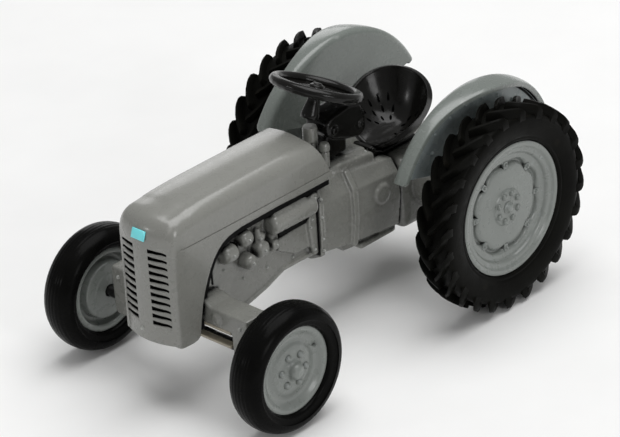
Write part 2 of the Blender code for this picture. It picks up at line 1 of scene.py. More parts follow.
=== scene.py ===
import bpy
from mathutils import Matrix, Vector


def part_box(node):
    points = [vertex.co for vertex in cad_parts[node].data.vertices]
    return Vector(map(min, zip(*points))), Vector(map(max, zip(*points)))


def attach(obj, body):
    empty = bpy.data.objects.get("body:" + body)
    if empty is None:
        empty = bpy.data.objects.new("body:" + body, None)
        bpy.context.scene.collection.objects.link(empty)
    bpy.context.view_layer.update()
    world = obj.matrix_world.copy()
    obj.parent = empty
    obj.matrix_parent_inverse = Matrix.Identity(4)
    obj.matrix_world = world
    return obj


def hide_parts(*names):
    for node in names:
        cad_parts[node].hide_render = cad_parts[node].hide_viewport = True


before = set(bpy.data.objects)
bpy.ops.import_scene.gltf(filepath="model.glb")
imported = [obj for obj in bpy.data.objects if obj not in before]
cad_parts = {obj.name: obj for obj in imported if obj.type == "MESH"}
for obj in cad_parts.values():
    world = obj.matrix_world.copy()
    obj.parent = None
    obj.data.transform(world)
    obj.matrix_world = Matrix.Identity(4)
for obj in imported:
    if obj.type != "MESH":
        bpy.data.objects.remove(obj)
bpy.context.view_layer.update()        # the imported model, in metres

import bpy, bmesh, math, random
from mathutils import Vector, Matrix

# Small die-cast model tractor. All shapes below are drawn in millimetres, x
# from the rear axle, z from the ground, and moved into the frame at the end.
lo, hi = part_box("rear_axle_rod")
REAR = (lo + hi) / 2
lo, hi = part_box("front_axle_rod")
FRONT = (lo + hi) / 2
MM = 0.001
TO_FRAME = Matrix.Translation((REAR.x, 0, 0)) @ Matrix.Scale(MM, 4)
BASE = (FRONT.x - REAR.x) / MM
ZR, ZF = REAR.z / MM, FRONT.z / MM
rnd = random.Random(7)


# ------------------------------------------------------------------ materials
def nodes(name):
    m = bpy.data.materials.new(name)
    m.use_nodes = True
    nt = m.node_tree
    return m, nt, nt.nodes["Principled BSDF"]


def add(nt, kind, **kw):
    n = nt.nodes.new(kind)
    for k, v in kw.items():
        setattr(n, k, v)
    return n


def ramp(nt, src, stops):
    r = add(nt, "ShaderNodeValToRGB")
    e = r.color_ramp.elements
    while len(e) < len(stops):
        e.new(0.5)
    for el, (p, c) in zip(e, stops):
        el.position = p
        el.color = (c, c, c, 1) if isinstance(c, float) else (*c, 1)
    nt.links.new(src, r.inputs[0])
    return r.outputs[0]


def noise(nt, scale, detail=4.0, rough=0.55, stretch=None):
    tc = add(nt, "ShaderNodeTexCoord")
    n = add(nt, "ShaderNodeTexNoise")
    n.inputs["Scale"].default_value = scale
    n.inputs["Detail"].default_value = detail
    n.inputs["Roughness"].default_value = rough
    if stretch:
        mp = add(nt, "ShaderNodeMapping")
        mp.inputs["Scale"].default_value = stretch
        nt.links.new(tc.outputs["Object"], mp.inputs[0])
        nt.links.new(mp.outputs[0], n.inputs["Vector"])
    else:
        nt.links.new(tc.outputs["Object"], n.inputs["Vector"])
    return n.outputs["Fac"]


def mix(nt, fac, a, b, kind="MIX"):
    m = add(nt, "ShaderNodeMix", data_type="RGBA", blend_type=kind)
    for src, i in ((fac, 0), (a, 6), (b, 7)):
        if isinstance(src, bpy.types.NodeSocket):
            nt.links.new(src, m.inputs[i])
        elif i == 0:
            m.inputs[0].default_value = src
        else:
            m.inputs[i].default_value = (*src, 1)
    return m.outputs[2]


def finish_surface(name, base, vary, rough, shade_ao=None, shade_ao_dist=0.5, shade_ao_col=(0.004, 0.004, 0.004),
                   edge=None, peel=0.12, peel_scale=2600.0, coat=0.0, metal=0.0, blot=320.0, spec=0.5):
    """Paint or plastic: slow tone variation, painted shade darkening the creases,
    edges lighter partly as thinned paint and partly as painted highlight, fine orange peel."""
    m, nt, b = nodes(name)
    slow = noise(nt, blot, 5.0)
    lo_c = tuple(c * (1 - vary) for c in base)
    hi_c = tuple(min(1, c * (1 + vary)) for c in base)
    col = ramp(nt, slow, ((0.3, lo_c), (0.7, hi_c)))
    # lighter edges: partly paint worn thin, partly painted highlight
    if edge:
        g = add(nt, "ShaderNodeNewGeometry")
        col = mix(nt, ramp(nt, g.outputs["Pointiness"], ((0.56, 0.0), (0.68, edge[1]))), col, edge[0])
    # painted shade: ambient occlusion darkens creases and recesses towards the dark shade colour
    if shade_ao:
        ao = add(nt, "ShaderNodeAmbientOcclusion", samples=6, only_local=False)
        ao.inputs["Distance"].default_value = shade_ao_dist * MM
        col = mix(nt, ramp(nt, ao.outputs["AO"], ((shade_ao[0], 1.0), (shade_ao[1], 0.0))), col, shade_ao_col)
    nt.links.new(col, b.inputs["Base Color"])
    fine = noise(nt, 1500.0, 3.0)
    nt.links.new(ramp(nt, fine, ((0.3, rough[0]), (0.72, rough[1]))), b.inputs["Roughness"])
    bump = add(nt, "ShaderNodeBump")
    bump.inputs["Strength"].default_value = peel
    bump.inputs["Distance"].default_value = 0.000012
    nt.links.new(noise(nt, peel_scale, 2.0, 0.4), bump.inputs["Height"])
    nt.links.new(bump.outputs[0], b.inputs["Normal"])
    b.inputs["Metallic"].default_value = metal
    b.inputs["Specular IOR Level"].default_value = spec
    b.inputs["Coat Weight"].default_value = coat
    b.inputs["Coat Roughness"].default_value = 0.12
    return m


# grey enamels: painted shade darkens their creases; their lighter edges are partly thinned paint, partly painted
# highlight
GREY = finish_surface("grey_enamel", (0.205, 0.207, 0.190), 0.06, (0.22, 0.34),
                      shade_ao=(0.54, 0.88), shade_ao_dist=0.50, edge=((0.34, 0.34, 0.31), 0.4), coat=0.35)
SHELL = finish_surface("grey_enamel_bonnet", (0.212, 0.213, 0.196), 0.035, (0.24, 0.33),
                       edge=((0.33, 0.33, 0.31), 0.4), peel=0.08, coat=0.3)
HUBG = finish_surface("grey_wheel_enamel", (0.190, 0.205, 0.192), 0.05, (0.24, 0.36),
                      shade_ao=(0.40, 0.66), shade_ao_dist=0.28, edge=((0.27, 0.29, 0.29), 0.4), coat=0.2)
FENDG = finish_surface("grey_fender_enamel", (0.160, 0.178, 0.164), 0.05, (0.22, 0.32),
                       shade_ao=(0.20, 0.55), shade_ao_dist=0.40, edge=((0.33, 0.34, 0.33), 0.5), coat=0.3)
BLACK = finish_surface("black_plastic", (0.0052, 0.005, 0.0044), 0.3, (0.14, 0.30), peel=0.35,
                       peel_scale=2200.0, coat=0.06, spec=0.22)
# painted sheen: the tyre's sharp lug edges are lifted to a brownish black
TYRE = finish_surface("tyre_vinyl", (0.0045, 0.0045, 0.0038), 0.35, (0.28, 0.50),
                      edge=((0.010, 0.009, 0.007), 0.5), peel=0.6, peel_scale=5200.0, spec=0.035)
TYRE_F = finish_surface("tyre_vinyl_front", (0.0036, 0.0036, 0.0034), 0.35, (0.20, 0.32),
                        peel=0.5, peel_scale=4200.0, spec=0.04)
ROD = finish_surface("blackened_rod", (0.02, 0.02, 0.019), 0.2, (0.25, 0.4), metal=0.6)
# painted shade: near-black put in gaps, holes, slot walls and the inside of the bonnet where shade falls
PAINTED_SHADE = finish_surface("black_painted_shade", (0.003, 0.003, 0.003), 0.3, (0.5, 0.7), peel=0.3, spec=0.1)
# painted highlight: a lighter, glossier copy of the grey enamel so that the stud tops shine
GLINT = finish_surface("grey_stud_painted_highlight", (0.34, 0.35, 0.33), 0.06, (0.10, 0.18), peel=0.1, coat=0.6)
# beige colour for two strips on the axle beam; its creases get painted shade
BUFF = finish_surface("beige_strip", (0.40, 0.36, 0.28), 0.08, (0.35, 0.5), shade_ao=(0.3, 0.6), shade_ao_dist=0.2, peel=0.3)
BADGE = finish_surface("badge_enamel", (0.20, 0.80, 0.86), 0.04, (0.25, 0.35), peel=0.1, coat=0.3)


# ------------------------------------------------------------------ mesh tools
def spin(bm, prof, origin, axis, steps=64, mi=0, closed=False, warp=None, phase=0.0):
    """Turn a profile of (radius, distance along axis) about an axis."""
    ax = Vector(axis).normalized()
    u = ax.orthogonal().normalized() if abs(ax.y) < 0.99 else Vector((1, 0, 0))
    if abs(ax.y) > 0.99:
        v = Vector((0, 0, 1))
    else:
        v = ax.cross(u)
    o = Vector(origin)
    rows = []
    for r, t in prof:
        if r < 1e-6:
            rows.append([bm.verts.new(o + ax * t)])
            continue
        row = []
        for k in range(steps):
            a = 2 * math.pi * k / steps + phase
            rr, tt = warp(r, t, a) if warp else (r, t)
            row.append(bm.verts.new(o + ax * tt + (u * math.cos(a) + v * math.sin(a)) * rr))
        rows.append(row)
    pairs = list(zip(rows, rows[1:]))
    if closed:
        pairs.append((rows[-1], rows[0]))
    for A, B in pairs:
        for k in range(steps):
            q = (k + 1) % steps
            if len(A) == 1 and len(B) == 1:
                break
            if len(A) == 1:
                f = (A[0], B[k], B[q])
            elif len(B) == 1:
                f = (A[k], B[0], A[q])
            else:
                f = (A[k], B[k], B[q], A[q])
            bm.faces.new(f).material_index = mi


def soft(pts, r, n=3, closed=False):
    """Round the corners of an open or closed 2-D line."""
    out = []
    m = len(pts)
    for i in range(m):
        if not closed and i in (0, m - 1):
            out.append(pts[i])
            continue
        a, b, c = Vector(pts[i - 1]), Vector(pts[i]), Vector(pts[(i + 1) % m])
        d0, d1 = (a - b), (c - b)
        q = min(r, d0.length * 0.45, d1.length * 0.45)
        if q < 1e-5:
            out.append(tuple(b))
            continue
        p0, p1 = b + d0.normalized() * q, b + d1.normalized() * q
        for k in range(n + 1):
            t = k / n
            out.append(tuple((1 - t) ** 2 * p0 + 2 * t * (1 - t) * b + t * t * p1))
    return out


def rod(bm, p0, p1, r, r1=None, seg=28, dome=0.1, mi=0):
    """Round bar with softened ends."""
    r1 = r if r1 is None else r1
    a, b = Vector(p0), Vector(p1)
    L = (b - a).length
    prof = [(0, 0)] + [(r - dome + dome * math.sin(t), dome - dome * math.cos(t))
                       for t in (0.0, 0.4, 0.8, 1.2, 1.5708)]
    prof += [(r1 - dome + dome * math.cos(t), L - dome + dome * math.sin(t))
             for t in (0.0, 0.4, 0.8, 1.2, 1.5708)] + [(0, L)]
    prof = [prof[0]] + [p for p in prof[1:-1] if p[0] > 1e-4] + [prof[-1]]
    spin(bm, prof, a, b - a, seg, mi)


def stud(bm, p, axis, r=0.2, h=0.15, seg=20, mi=0):
    """Domed rivet or bolt head standing on a small washer."""
    prof = [(0, -0.12), (r * 1.25, -0.12), (r * 1.25, 0.0), (r * 1.15, 0.03)]
    prof += [(r * math.cos(t), 0.03 + h * math.sin(t)) for t in (0.0, 0.35, 0.7, 1.05, 1.3)]
    prof += [(0, 0.03 + h)]
    spin(bm, prof, p, axis, seg, mi)


def nut(bm, p, axis, r=0.24, h=0.2, mi=0, turn=0.0):
    """Hexagon nut with a rounded stud end in it."""
    spin(bm, [(0, -0.1), (r, -0.1), (r, h * 0.75), (r * 0.82, h), (0, h)], p, axis, 6, mi, phase=turn)
    q = Vector(p) + Vector(axis).normalized() * (h - 0.02)
    spin(bm, [(0, 0), (r * 0.5, 0), (r * 0.5, 0.05), (r * 0.3, 0.1), (0, 0.11)], q, axis, 16, mi)


def bevel_new(bm, before, w, seg=3, angle=25):
    fresh = [f for f in bm.faces if f not in before]
    es = {e for f in fresh for e in f.edges}
    sharp = [e for e in es if len(e.link_faces) == 2 and e.calc_face_angle(0) > math.radians(angle)]
    bmesh.ops.bevel(bm, geom=sharp, offset=w, segments=seg, affect="EDGES", profile=0.5,
                    clamp_overlap=True)


def block(bm, a, b, w=0.15, seg=3, mi=0):
    before = set(bm.faces)
    r = bmesh.ops.create_cube(bm, size=1.0)
    a, b = Vector(a), Vector(b)
    bmesh.ops.scale(bm, vec=b - a, verts=r["verts"])
    bmesh.ops.translate(bm, vec=(a + b) / 2, verts=r["verts"])
    for f in bm.faces:
        if f not in before:
            f.material_index = mi
    if w:
        bevel_new(bm, before, w, seg)


def prism(bm, pts, a, b, plane="XZ", w=0.12, seg=3, mi=0):
    def at(p, t):
        return {"XZ": (p[0], t, p[1]), "YZ": (t, p[0], p[1]), "XY": (p[0], p[1], t)}[plane]
    before = set(bm.faces)
    r0 = [bm.verts.new(at(p, a)) for p in pts]
    r1 = [bm.verts.new(at(p, b)) for p in pts]
    n = len(pts)
    fs = [bm.faces.new(r0[::-1]), bm.faces.new(r1)]
    for i in range(n):
        fs.append(bm.faces.new((r0[i], r0[(i + 1) % n], r1[(i + 1) % n], r1[i])))
    bmesh.ops.recalc_face_normals(bm, faces=fs)
    for f in fs:
        f.material_index = mi
    if w:
        bevel_new(bm, before, w, seg)


def loft(bm, rings, mi=0, caps=True):
    L = [[bm.verts.new(p) for p in ring] for ring in rings]
    n = len(L[0])
    fs = []
    for A, B in zip(L, L[1:]):
        for i in range(n):
            fs.append(bm.faces.new((A[i], A[(i + 1) % n], B[(i + 1) % n], B[i])))
    if caps:
        fs += [bm.faces.new(L[0][::-1]), bm.faces.new(L[-1])]
    for f in fs:
        f.material_index = mi
    return L


def raw(bm, name, mats=()):
    bmesh.ops.recalc_face_normals(bm, faces=bm.faces[:])
    me = bpy.data.meshes.new(name)
    bm.to_mesh(me)
    bm.free()
    ob = bpy.data.objects.new(name, me)
    bpy.context.scene.collection.objects.link(ob)
    for m in mats:
        me.materials.append(m)
    return ob


def bake(ob):
    """Apply every modifier."""
    bpy.context.view_layer.update()
    dg = bpy.context.evaluated_depsgraph_get()
    me = bpy.data.meshes.new_from_object(ob.evaluated_get(dg))
    old = ob.data
    ob.modifiers.clear()
    ob.data = me
    bpy.data.meshes.remove(old)
    return ob


def cast(ob, voxel=0.09, rounds=4, factor=0.5):
    """Melt overlapping shapes into one soft-edged casting."""
    r = ob.modifiers.new("r", "REMESH")
    r.mode = "VOXEL"
    r.voxel_size = voxel
    s = ob.modifiers.new("s", "SMOOTH")
    s.factor = factor
    s.iterations = rounds
    mats = list(ob.data.materials)
    bake(ob)
    ob.data.materials.clear()
    for m in mats:
        ob.data.materials.append(m)
    for p in ob.data.polygons:
        p.material_index = 0
    return ob


def cutout(ob, *cutters):
    for c in cutters:
        b = ob.modifiers.new("b", "BOOLEAN")
        b.operation = "DIFFERENCE"
        b.solver = "EXACT"
        b.material_mode = "TRANSFER"
        b.object = c
    bake(ob)
    for c in cutters:
        bpy.data.objects.remove(c, do_unlink=True)
    return ob


def place(ob, body, slot, *replaced, angle=38, all_smooth=False):
    """Move a finished piece into the frame and give it to its body."""
    ob.data.transform(TO_FRAME)
    ob.data.update()
    if all_smooth:
        ob.data.shade_smooth()
    else:
        ob.data.shade_smooth()
        ob.data.set_sharp_from_angle(angle=math.radians(angle))
    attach(ob, body)
    if replaced:
        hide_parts(*replaced)
    return ob


# ------------------------------------------------------------------ wheels
def front_tyre(side, s):
    y = (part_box(side + "_front_tyre")[0].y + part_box(side + "_front_tyre")[1].y) / 2 / MM
    w, R = 1.45, 4.95
    prof = [(3.36, 0.95), (3.36, -0.95), (3.5, -1.16), (3.62, -1.22), (3.72, -1.2), (4.0, -1.34)]
    for i in range(49):
        a = -1 + 2 * i / 48
        r = R - 0.95 * (1 - math.sqrt(max(0.0, 1 - abs(a) ** 2.3)))
        g = sum(math.exp(-((a * w - q) / 0.055) ** 2) for q in (-0.86, -0.5, -0.17, 0.17, 0.5, 0.86))
        prof.append((r - 0.018 * g, a * w))
    prof += [(4.0, 1.34), (3.72, 1.2), (3.62, 1.22), (3.5, 1.16)]
    bm = bmesh.new()
    spin(bm, prof, (BASE, y, ZF), (0, s, 0), 144, closed=True)
    ob = raw(bm, side + "_front_tyre_ribbed", [TYRE_F])
    return place(ob, side + "_front_wheel", "tyre_vinyl", side + "_front_tyre", angle=60)


def front_rim(side, s):
    y = (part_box(side + "_front_tyre")[0].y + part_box(side + "_front_tyre")[1].y) / 2 / MM
    outer = [(0.0, 1.50), (0.28, 1.48), (0.50, 1.38), (0.62, 1.18), (0.68, 0.92), (0.80, 0.80), (0.98, 0.74),
             (1.55, 0.72), (1.86, 0.64), (2.10, 0.52), (2.34, 0.46), (2.56, 0.50), (2.76, 0.62),
             (2.92, 0.76), (3.06, 0.86), (3.22, 0.90), (3.34, 0.88)]
    inner = [(3.33, -0.86), (3.2, -0.92), (2.98, -0.92), (2.86, -0.84), (2.80, -0.50), (2.66, -0.24),
             (2.40, -0.18), (2.30, -0.30), (2.26, -0.90), (2.16, -1.00), (1.50, -1.02), (1.36, -1.10),
             (0.80, -1.12), (0.50, -1.12)]
    bm = bmesh.new()
    spin(bm, soft(outer, 0.05, 2) + soft(inner, 0.05, 2) + [(0.50, 0.1), (0.0, 0.1)],
         (BASE, y, ZF), (0, s, 0), 112)
    for k in range(6):
        a = math.radians(60 * k + 8)
        stud(bm, (BASE + 1.22 * math.cos(a), y + s * 0.66, ZF + 1.22 * math.sin(a)), (0, s, 0), 0.30, 0.32)
    for k in range(3):
        a = math.radians(120 * k + 50)
        stud(bm, (BASE + 0.66 * math.cos(a), y + s * 0.72, ZF + 0.66 * math.sin(a)), (0, s, 0), 0.1, 0.1, 14)
    # valve
    rod(bm, (BASE - 2.3, y + s * 0.45, ZF + 0.9), (BASE - 2.42, y + s * 0.8, ZF + 0.95), 0.09, dome=0.04, seg=14)
    ob = raw(bm, side + "_front_rim_pressed", [HUBG])
    return place(ob, side + "_front_wheel", "grey_wheel_enamel", side + "_front_rim", angle=50)


LUGS = 24


def rear_tyre(side, s):
    y = (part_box(side + "_rear_tyre")[0].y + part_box(side + "_rear_tyre")[1].y) / 2 / MM
    half = [(5.31, 1.10), (5.42, 1.24), (5.55, 1.30), (5.66, 1.28), (5.80, 1.36), (6.2, 1.47), (6.6, 1.54),
            (7.0, 1.55), (7.25, 1.50), (7.42, 1.38), (7.52, 1.15), (7.58, 0.8), (7.61, 0.4)]
    prof = [(r, t) for r, t in half] + [(7.62, 0.0)] + [(r, -t * 0.9) for r, t in half[::-1]]
    bm = bmesh.new()
    spin(bm, soft(prof, 0.12, 2, closed=True), (0, y, ZR), (0, s, 0), 176, closed=True)
    # chevron lugs: curved bars from the centre line to the shoulder, the two
    # sides half a pitch apart, dropping onto the side wall
    path = [(0.02, 8.10, 0.0), (0.08, 8.24, 0.0), (0.35, 8.24, 0.035), (0.7, 8.22, 0.085), (1.05, 8.19, 0.155),
            (1.32, 8.14, 0.225), (1.47, 8.05, 0.262), (1.56, 7.85, 0.28), (1.59, 7.55, 0.285), (1.56, 7.2, 0.288)]
    for sd in (1, -1):
        for k in range(LUGS):
            a0 = 2 * math.pi * (k + (0.5 if sd > 0 else 0.0)) / LUGS
            rings = []
            for i, (t, rt, da) in enumerate(path):
                grow = 1.0 + 0.35 * min(1.0, t / 1.3)
                wt, wb = 0.023 * grow, 0.043 * grow
                if i == 0:
                    wt *= 0.7
                rb = min(7.45, rt - 0.35)
                tb = min(t, 1.42)
                ring = []
                for r, w_, tt in ((rb, -wb, tb), (0.5 * (rb + rt) + 0.08, -0.5 * (wb + wt) * 0.98, t),
                                  (rt - 0.05, -wt, t), (rt, -wt * 0.8, t), (rt, wt * 0.8, t),
                                  (rt - 0.05, wt, t), (0.5 * (rb + rt) + 0.08, 0.5 * (wb + wt) * 0.98, t),
                                  (rb, wb, tb)):
                    a = a0 + da + w_
                    ring.append((r * math.cos(a), y + s * sd * tt * (1 if sd > 0 else 0.87), ZR + r * math.sin(a)))
                rings.append(ring)
            loft(bm, rings)
    ob = raw(bm, side + "_rear_tyre_lugged", [TYRE])
    return place(ob, side + "_rear_wheel", "tyre_vinyl", side + "_rear_tyre", angle=42)


def rear_rim(side, s):
    y = (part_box(side + "_rear_tyre")[0].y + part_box(side + "_rear_tyre")[1].y) / 2 / MM

    def warp(r, t, a):
        g = math.exp(-((r - 3.5) / 0.33) ** 2)
        c = math.cos(8 * (a - math.radians(2)))
        return r - 0.20 * g * (0.5 * c + 0.9 * max(0.0, c) ** 3 - 0.3), t

    outer = [(0.0, 0.84), (1.36, 0.80), (1.44, 0.72), (1.52, 0.66), (2.3, 0.65), (3.02, 0.61), (3.22, 0.56),
             (3.33, 0.46), (3.38, 0.28), (3.50, 0.26), (3.58, 0.34), (3.66, 0.50), (3.82, 0.60), (4.10, 0.63),
             (4.26, 0.70), (4.34, 0.86), (4.46, 0.96), (4.72, 0.98), (4.82, 1.06), (4.90, 1.16),
             (5.05, 1.20), (5.18, 1.20), (5.28, 1.15)]
    inner = [(5.28, -1.15), (5.15, -1.22), (4.86, -1.22), (4.72, -1.10), (4.45, -0.55), (4.2, -0.42),
             (3.4, -0.35), (3.2, -0.25), (1.75, -0.25), (1.6, -0.35), (1.55, -0.85), (0.70, -0.85)]
    bm = bmesh.new()
    spin(bm, soft(outer, 0.05, 2) + soft(inner, 0.06, 2) + [(0.70, 0.0), (0.0, 0.0)],
         (0, y, ZR), (0, s, 0), 192, warp=warp)
    for k in range(8):
        a = math.radians(45 * k + 2)
        u = Vector((math.cos(a), 0, math.sin(a)))
        v = Vector((-math.sin(a), 0, math.cos(a)))
        c = Vector((0, y + s * 0.46, ZR)) + u * 3.46
        # clamp lug across the groove, with its bolt
        rings = []
        for q, h, wd in ((-0.40, 0.02, 0.16), (-0.34, 0.16, 0.20), (0.0, 0.20, 0.23), (0.26, 0.20, 0.20), (0.36, 0.06, 0.15)):
            p = c + u * q
            rings.append([p - v * wd - Vector((0, s * 0.3, 0)), p - v * wd + Vector((0, s * (h - 0.06), 0)),
                          p - v * wd * 0.6 + Vector((0, s * h, 0)), p + v * wd * 0.6 + Vector((0, s * h, 0)),
                          p + v * wd + Vector((0, s * (h - 0.06), 0)), p + v * wd - Vector((0, s * 0.3, 0))])
        loft(bm, rings)
        stud(bm, c + u * -0.02 + Vector((0, s * 0.2, 0)), (0, s, 0), 0.13, 0.1, 14)
        b = math.radians(45 * k + 22)
        stud(bm, (1.12 * math.cos(b), y + s * 0.79, ZR + 1.12 * math.sin(b)), (0, s, 0), 0.26, 0.26, 22)
    spin(bm, [(0, -0.1), (0.52, -0.1), (0.5, 0.06), (0.34, 0.14), (0.3, 0.26), (0.2, 0.32), (0, 0.34)],
         (0, y + s * 0.82, ZR), (0, s, 0), 28)
    ob = raw(bm, side + "_rear_rim_pressed", [HUBG])
    return place(ob, side + "_rear_wheel", "grey_wheel_enamel", side + "_rear_rim", angle=50)


for side, s in (("left", 1), ("right", -1)):
    front_tyre(side, s)
    front_rim(side, s)
    rear_tyre(side, s)
    rear_rim(side, s)

# ------------------------------------------------------------------ bonnet
HALF = 2.92
STN = [(10.6, HALF, 16.3, 12.8, 1.25, 0.0), (12.3, HALF, 16.3, 12.8, 1.25, 0.0), (14.0, HALF, 16.3, 12.8, 1.25, 0.0),
       (16.5, HALF, 16.29, 12.85, 1.23, 0.0), (19.0, HALF, 16.27, 12.8, 1.2, 0.0), (20.3, HALF, 16.25, 12.78, 1.18, 0.0),
       (21.1, HALF, 16.24, 12.68, 1.15, 0.0), (21.7, HALF, 16.22, 12.55, 1.15, 0.0), (22.3, HALF, 16.21, 12.30, 1.15, 0.0),
       (22.8, HALF, 16.19, 11.92, 1.15, 0.0), (23.3, HALF, 16.17, 11.40, 1.15, 0.0), (23.7, HALF, 16.14, 10.78, 1.12, 0.0),
       (24.1, HALF, 16.11, 10.0, 1.1, 0.0), (24.45, HALF, 16.08, 9.15, 1.1, 0.0), (24.75, HALF, 16.05, 8.2, 1.1, 0.0),
       (25.0, HALF, 16.0, 7.0, 1.1, 0.0), (25.2, HALF, 15.97, 5.85, 1.1, 0.0), (25.5, HALF, 15.93, 5.66, 1.07, 0.02),
       (25.9, 2.92, 15.90, 5.6, 1.05, 0.05), (26.3, 2.92, 15.84, 5.6, 1.02, 0.10), (26.7, 2.90, 15.72, 5.6, 0.98, 0.20),
       (27.0, 2.88, 15.57, 5.6, 0.95, 0.30), (27.2, 2.86, 15.42, 5.6, 0.92, 0.37), (27.4, 2.82, 15.20, 5.61, 0.86, 0.44),
       (27.55, 2.78, 14.96, 5.63, 0.80, 0.50), (27.66, 2.73, 14.70, 5.66, 0.76, 0.54), (27.74, 2.68, 14.42, 5.69, 0.72, 0.57),
       (27.785, 2.61, 14.14, 5.72, 0.68, 0.59), (27.8, 2.54, 13.92, 5.76, 0.64, 0.60)]
TIP_HALF, TIP_SWEEP = 2.54, 0.60
SEAM_Z = 13.45


def bonnet_ring(x, half, top, low, r_sh, sweep, rake=0.0, n=10, crown=0.22, seam=True, inset=0.0):
    tuck = 0.16
    half, top, r_sh = half - inset, top - inset, max(0.3, r_sh - inset)
    side_top = top - crown - r_sh
    zs = [low, low + 0.04, low + 0.10, low + 0.3]
    ins = [0.05, 0.015, 0.0, 0.0]
    s0 = min(SEAM_Z, side_top - 0.12) - 0.06
    for k in range(1, 6):
        zs.append(low + 0.3 + (s0 - 0.06 - low - 0.3) * k / 5)
        ins.append(0.0)
    d = 0.07 if seam else 0.0
    zs += [s0, s0 + 0.03, s0 + 0.07, s0 + 0.12]
    ins += [0.0, d, d, 0.0]
    base = s0 + 0.12
    pts = []
    for z, q in zip(zs, ins):
        pts.append((half - q - 0.05 * max(0.0, (z - low)) / max(0.1, side_top - low), z))
    for i in range(n + 1):
        a = math.radians(90.0 * i / n)
        f = 0.0 if i else 0.0
        pts.append((half - tuck - r_sh + (r_sh + (tuck - 0.05) * (1 - i / n) ** 2) * math.cos(a),
                    max(base + 0.02, side_top + r_sh * math.sin(a)) + f))
    flat = half - tuck - r_sh
    for k in range(1, 5):
        u = 1 - k / 5
        pts.append((flat * u, top - crown * u * u))
    pts.append((0.0, top))
    full = pts + [(-y, z) for y, z in pts[-2::-1]]
    return [Vector((x - sweep * (abs(y) / half) ** 2 + rake * (z - low) / (top - low), y, z)) for y, z in full]


bm = bmesh.new()
rings = [bonnet_ring(*st, rake=1.7 if k == 0 else (0.75 if k == 1 else 0.0), seam=st[0] < 26.6)
         for k, st in enumerate(STN)]
L = [[bm.verts.new(p) for p in ring] for ring in rings]
n = len(L[0])
for A, B in zip(L, L[1:]):
    for i in range(n):
        if i == n - 1 and B is L[-1]:
            continue
        bm.faces.new((A[i], A[(i + 1) % n], B[(i + 1) % n], B[i]))
bm.faces.new(L[0][::-1])
mid = (n - 1) // 2
rows = []
COLS = 14
for i in range(mid):
    p = rings[-1][i]
    row = [L[-1][i]]
    for k in range(1, COLS):
        f = 1 - 2 * k / COLS
        row.append(bm.verts.new((27.8 - TIP_SWEEP * (abs(p.y * f) / TIP_HALF) ** 2, p.y * f, p.z)))
    row.append(L[-1][n - 1 - i])
    rows.append(row)
for ra, rb in zip(rows, rows[1:]):
    for k in range(COLS):
        bm.faces.new((ra[k], ra[k + 1], rb[k + 1], rb[k]))
bm.faces.new(rows[-1][::-1] + [L[-1][mid]])
bm.faces.new([L[-2][0]] + rows[0] + [L[-2][n - 1]])
bonnet = raw(bm, "bonnet_shell", [SHELL, PAINTED_SHADE])

# the hollow's faces pass the black painted shade to the bonnet's inside
bm = bmesh.new()
hollow = []
for k, (x, half, top, low, r, sw) in enumerate(STN):
    if x > 27.25:
        break
    ring = bonnet_ring(x + (0.7 if k == 0 else 0.0) - (0.35 if x > 25.5 else 0.0), half, top, low, r, 0.0,
                       rake=1.7 if k == 0 else (0.75 if k == 1 else 0.0), seam=False, inset=0.42)
    for q in (0, -1):
        ring[q].z -= 2.0
    hollow.append(ring)
loft(bm, hollow)
hollow = raw(bm, "hollow", [PAINTED_SHADE])

# louvres: slots swept back from the centre bar
bm = bmesh.new()
PITCH, TOPZ, ROWS = 0.585, 13.3, 11


def nose_x(y):
    return 27.8 - TIP_SWEEP * (abs(y) / TIP_HALF) ** 2


for sg in (1, -1):
    for k in range(ROWS):
        z = TOPZ - PITCH * k
        pts = []
        for i in range(9):
            f = i / 8
            y = sg * (0.74 + 1.52 * f)
            droop = 0.10 * max(0.0, (f - 0.7) / 0.3) ** 2
            h = 0.160 * (1 - 0.42 * f)
            pts.append((y, z - droop, h))
        rings = []
        for y, zc, h in pts:
            x = nose_x(y)
            rings.append([(x - 0.30, y, zc - h), (x + 0.2, y, zc - h), (x + 0.2, y, zc + h), (x - 0.30, y, zc + h)])
        loft(bm, rings)
# the slot walls take the black painted shade
slots = raw(bm, "slots", [PAINTED_SHADE])
cutout(bonnet, hollow, slots)
place(bonnet, "chassis", "grey_enamel", "bonnet", angle=32)

# raised lip under each louvre
bm = bmesh.new()
for sg in (1, -1):
    for k in range(ROWS):
        z = TOPZ - PITCH * k
        rings = []
        for i in range(11):
            f = i / 10
            y = sg * (0.72 + 1.56 * f)
            droop = 0.12 * max(0.0, (f - 0.7) / 0.3) ** 2
            g = math.sqrt(max(0.02, 1 - (2 * f - 1) ** 6))
            a, b = 0.085 * g * (1 - 0.35 * f), 0.15 * g * (1 - 0.30 * f)
            x = nose_x(y)
            zc = z - 0.27 - droop + 0.03 * f
            rings.append([(x + a * math.cos(q) - 0.012, y, zc + b * math.sin(q))
                          for q in [2 * math.pi * j / 12 for j in range(12)]])
        loft(bm, rings)
lips = raw(bm, "grille_louvre_lips", [SHELL])
place(lips, "chassis", "grey_enamel", angle=60)

# badge, lying on the slope of the nose
bm = bmesh.new()
block(bm, (-0.05, -0.66, -0.38), (0.06, 0.66, 0.38), 0.045, 3)
bmesh.ops.rotate(bm, cent=(0, 0, 0), matrix=Matrix.Rotation(math.radians(-20), 3, "Y"), verts=bm.verts[:])
bmesh.ops.translate(bm, vec=(27.79, 0, 14.42), verts=bm.verts[:])
place(raw(bm, "blank_nose_badge", [BADGE]), "chassis", "badge_enamel", "grille_badge")

# small fittings of the nose: starting-handle boss and bonnet catch buttons
bm = bmesh.new()
stud(bm, (27.77, -0.42, 6.6), (1, 0, 0), 0.17, 0.14)
stud(bm, (26.96, 1.55, 15.20), (0.62, 0.2, 0.76), 0.11, 0.09)
stud(bm, (26.96, -1.55, 15.20), (0.62, -0.2, 0.76), 0.11, 0.09)
place(raw(bm, "nose_studs", [GLINT]), "chassis", "grey_enamel")
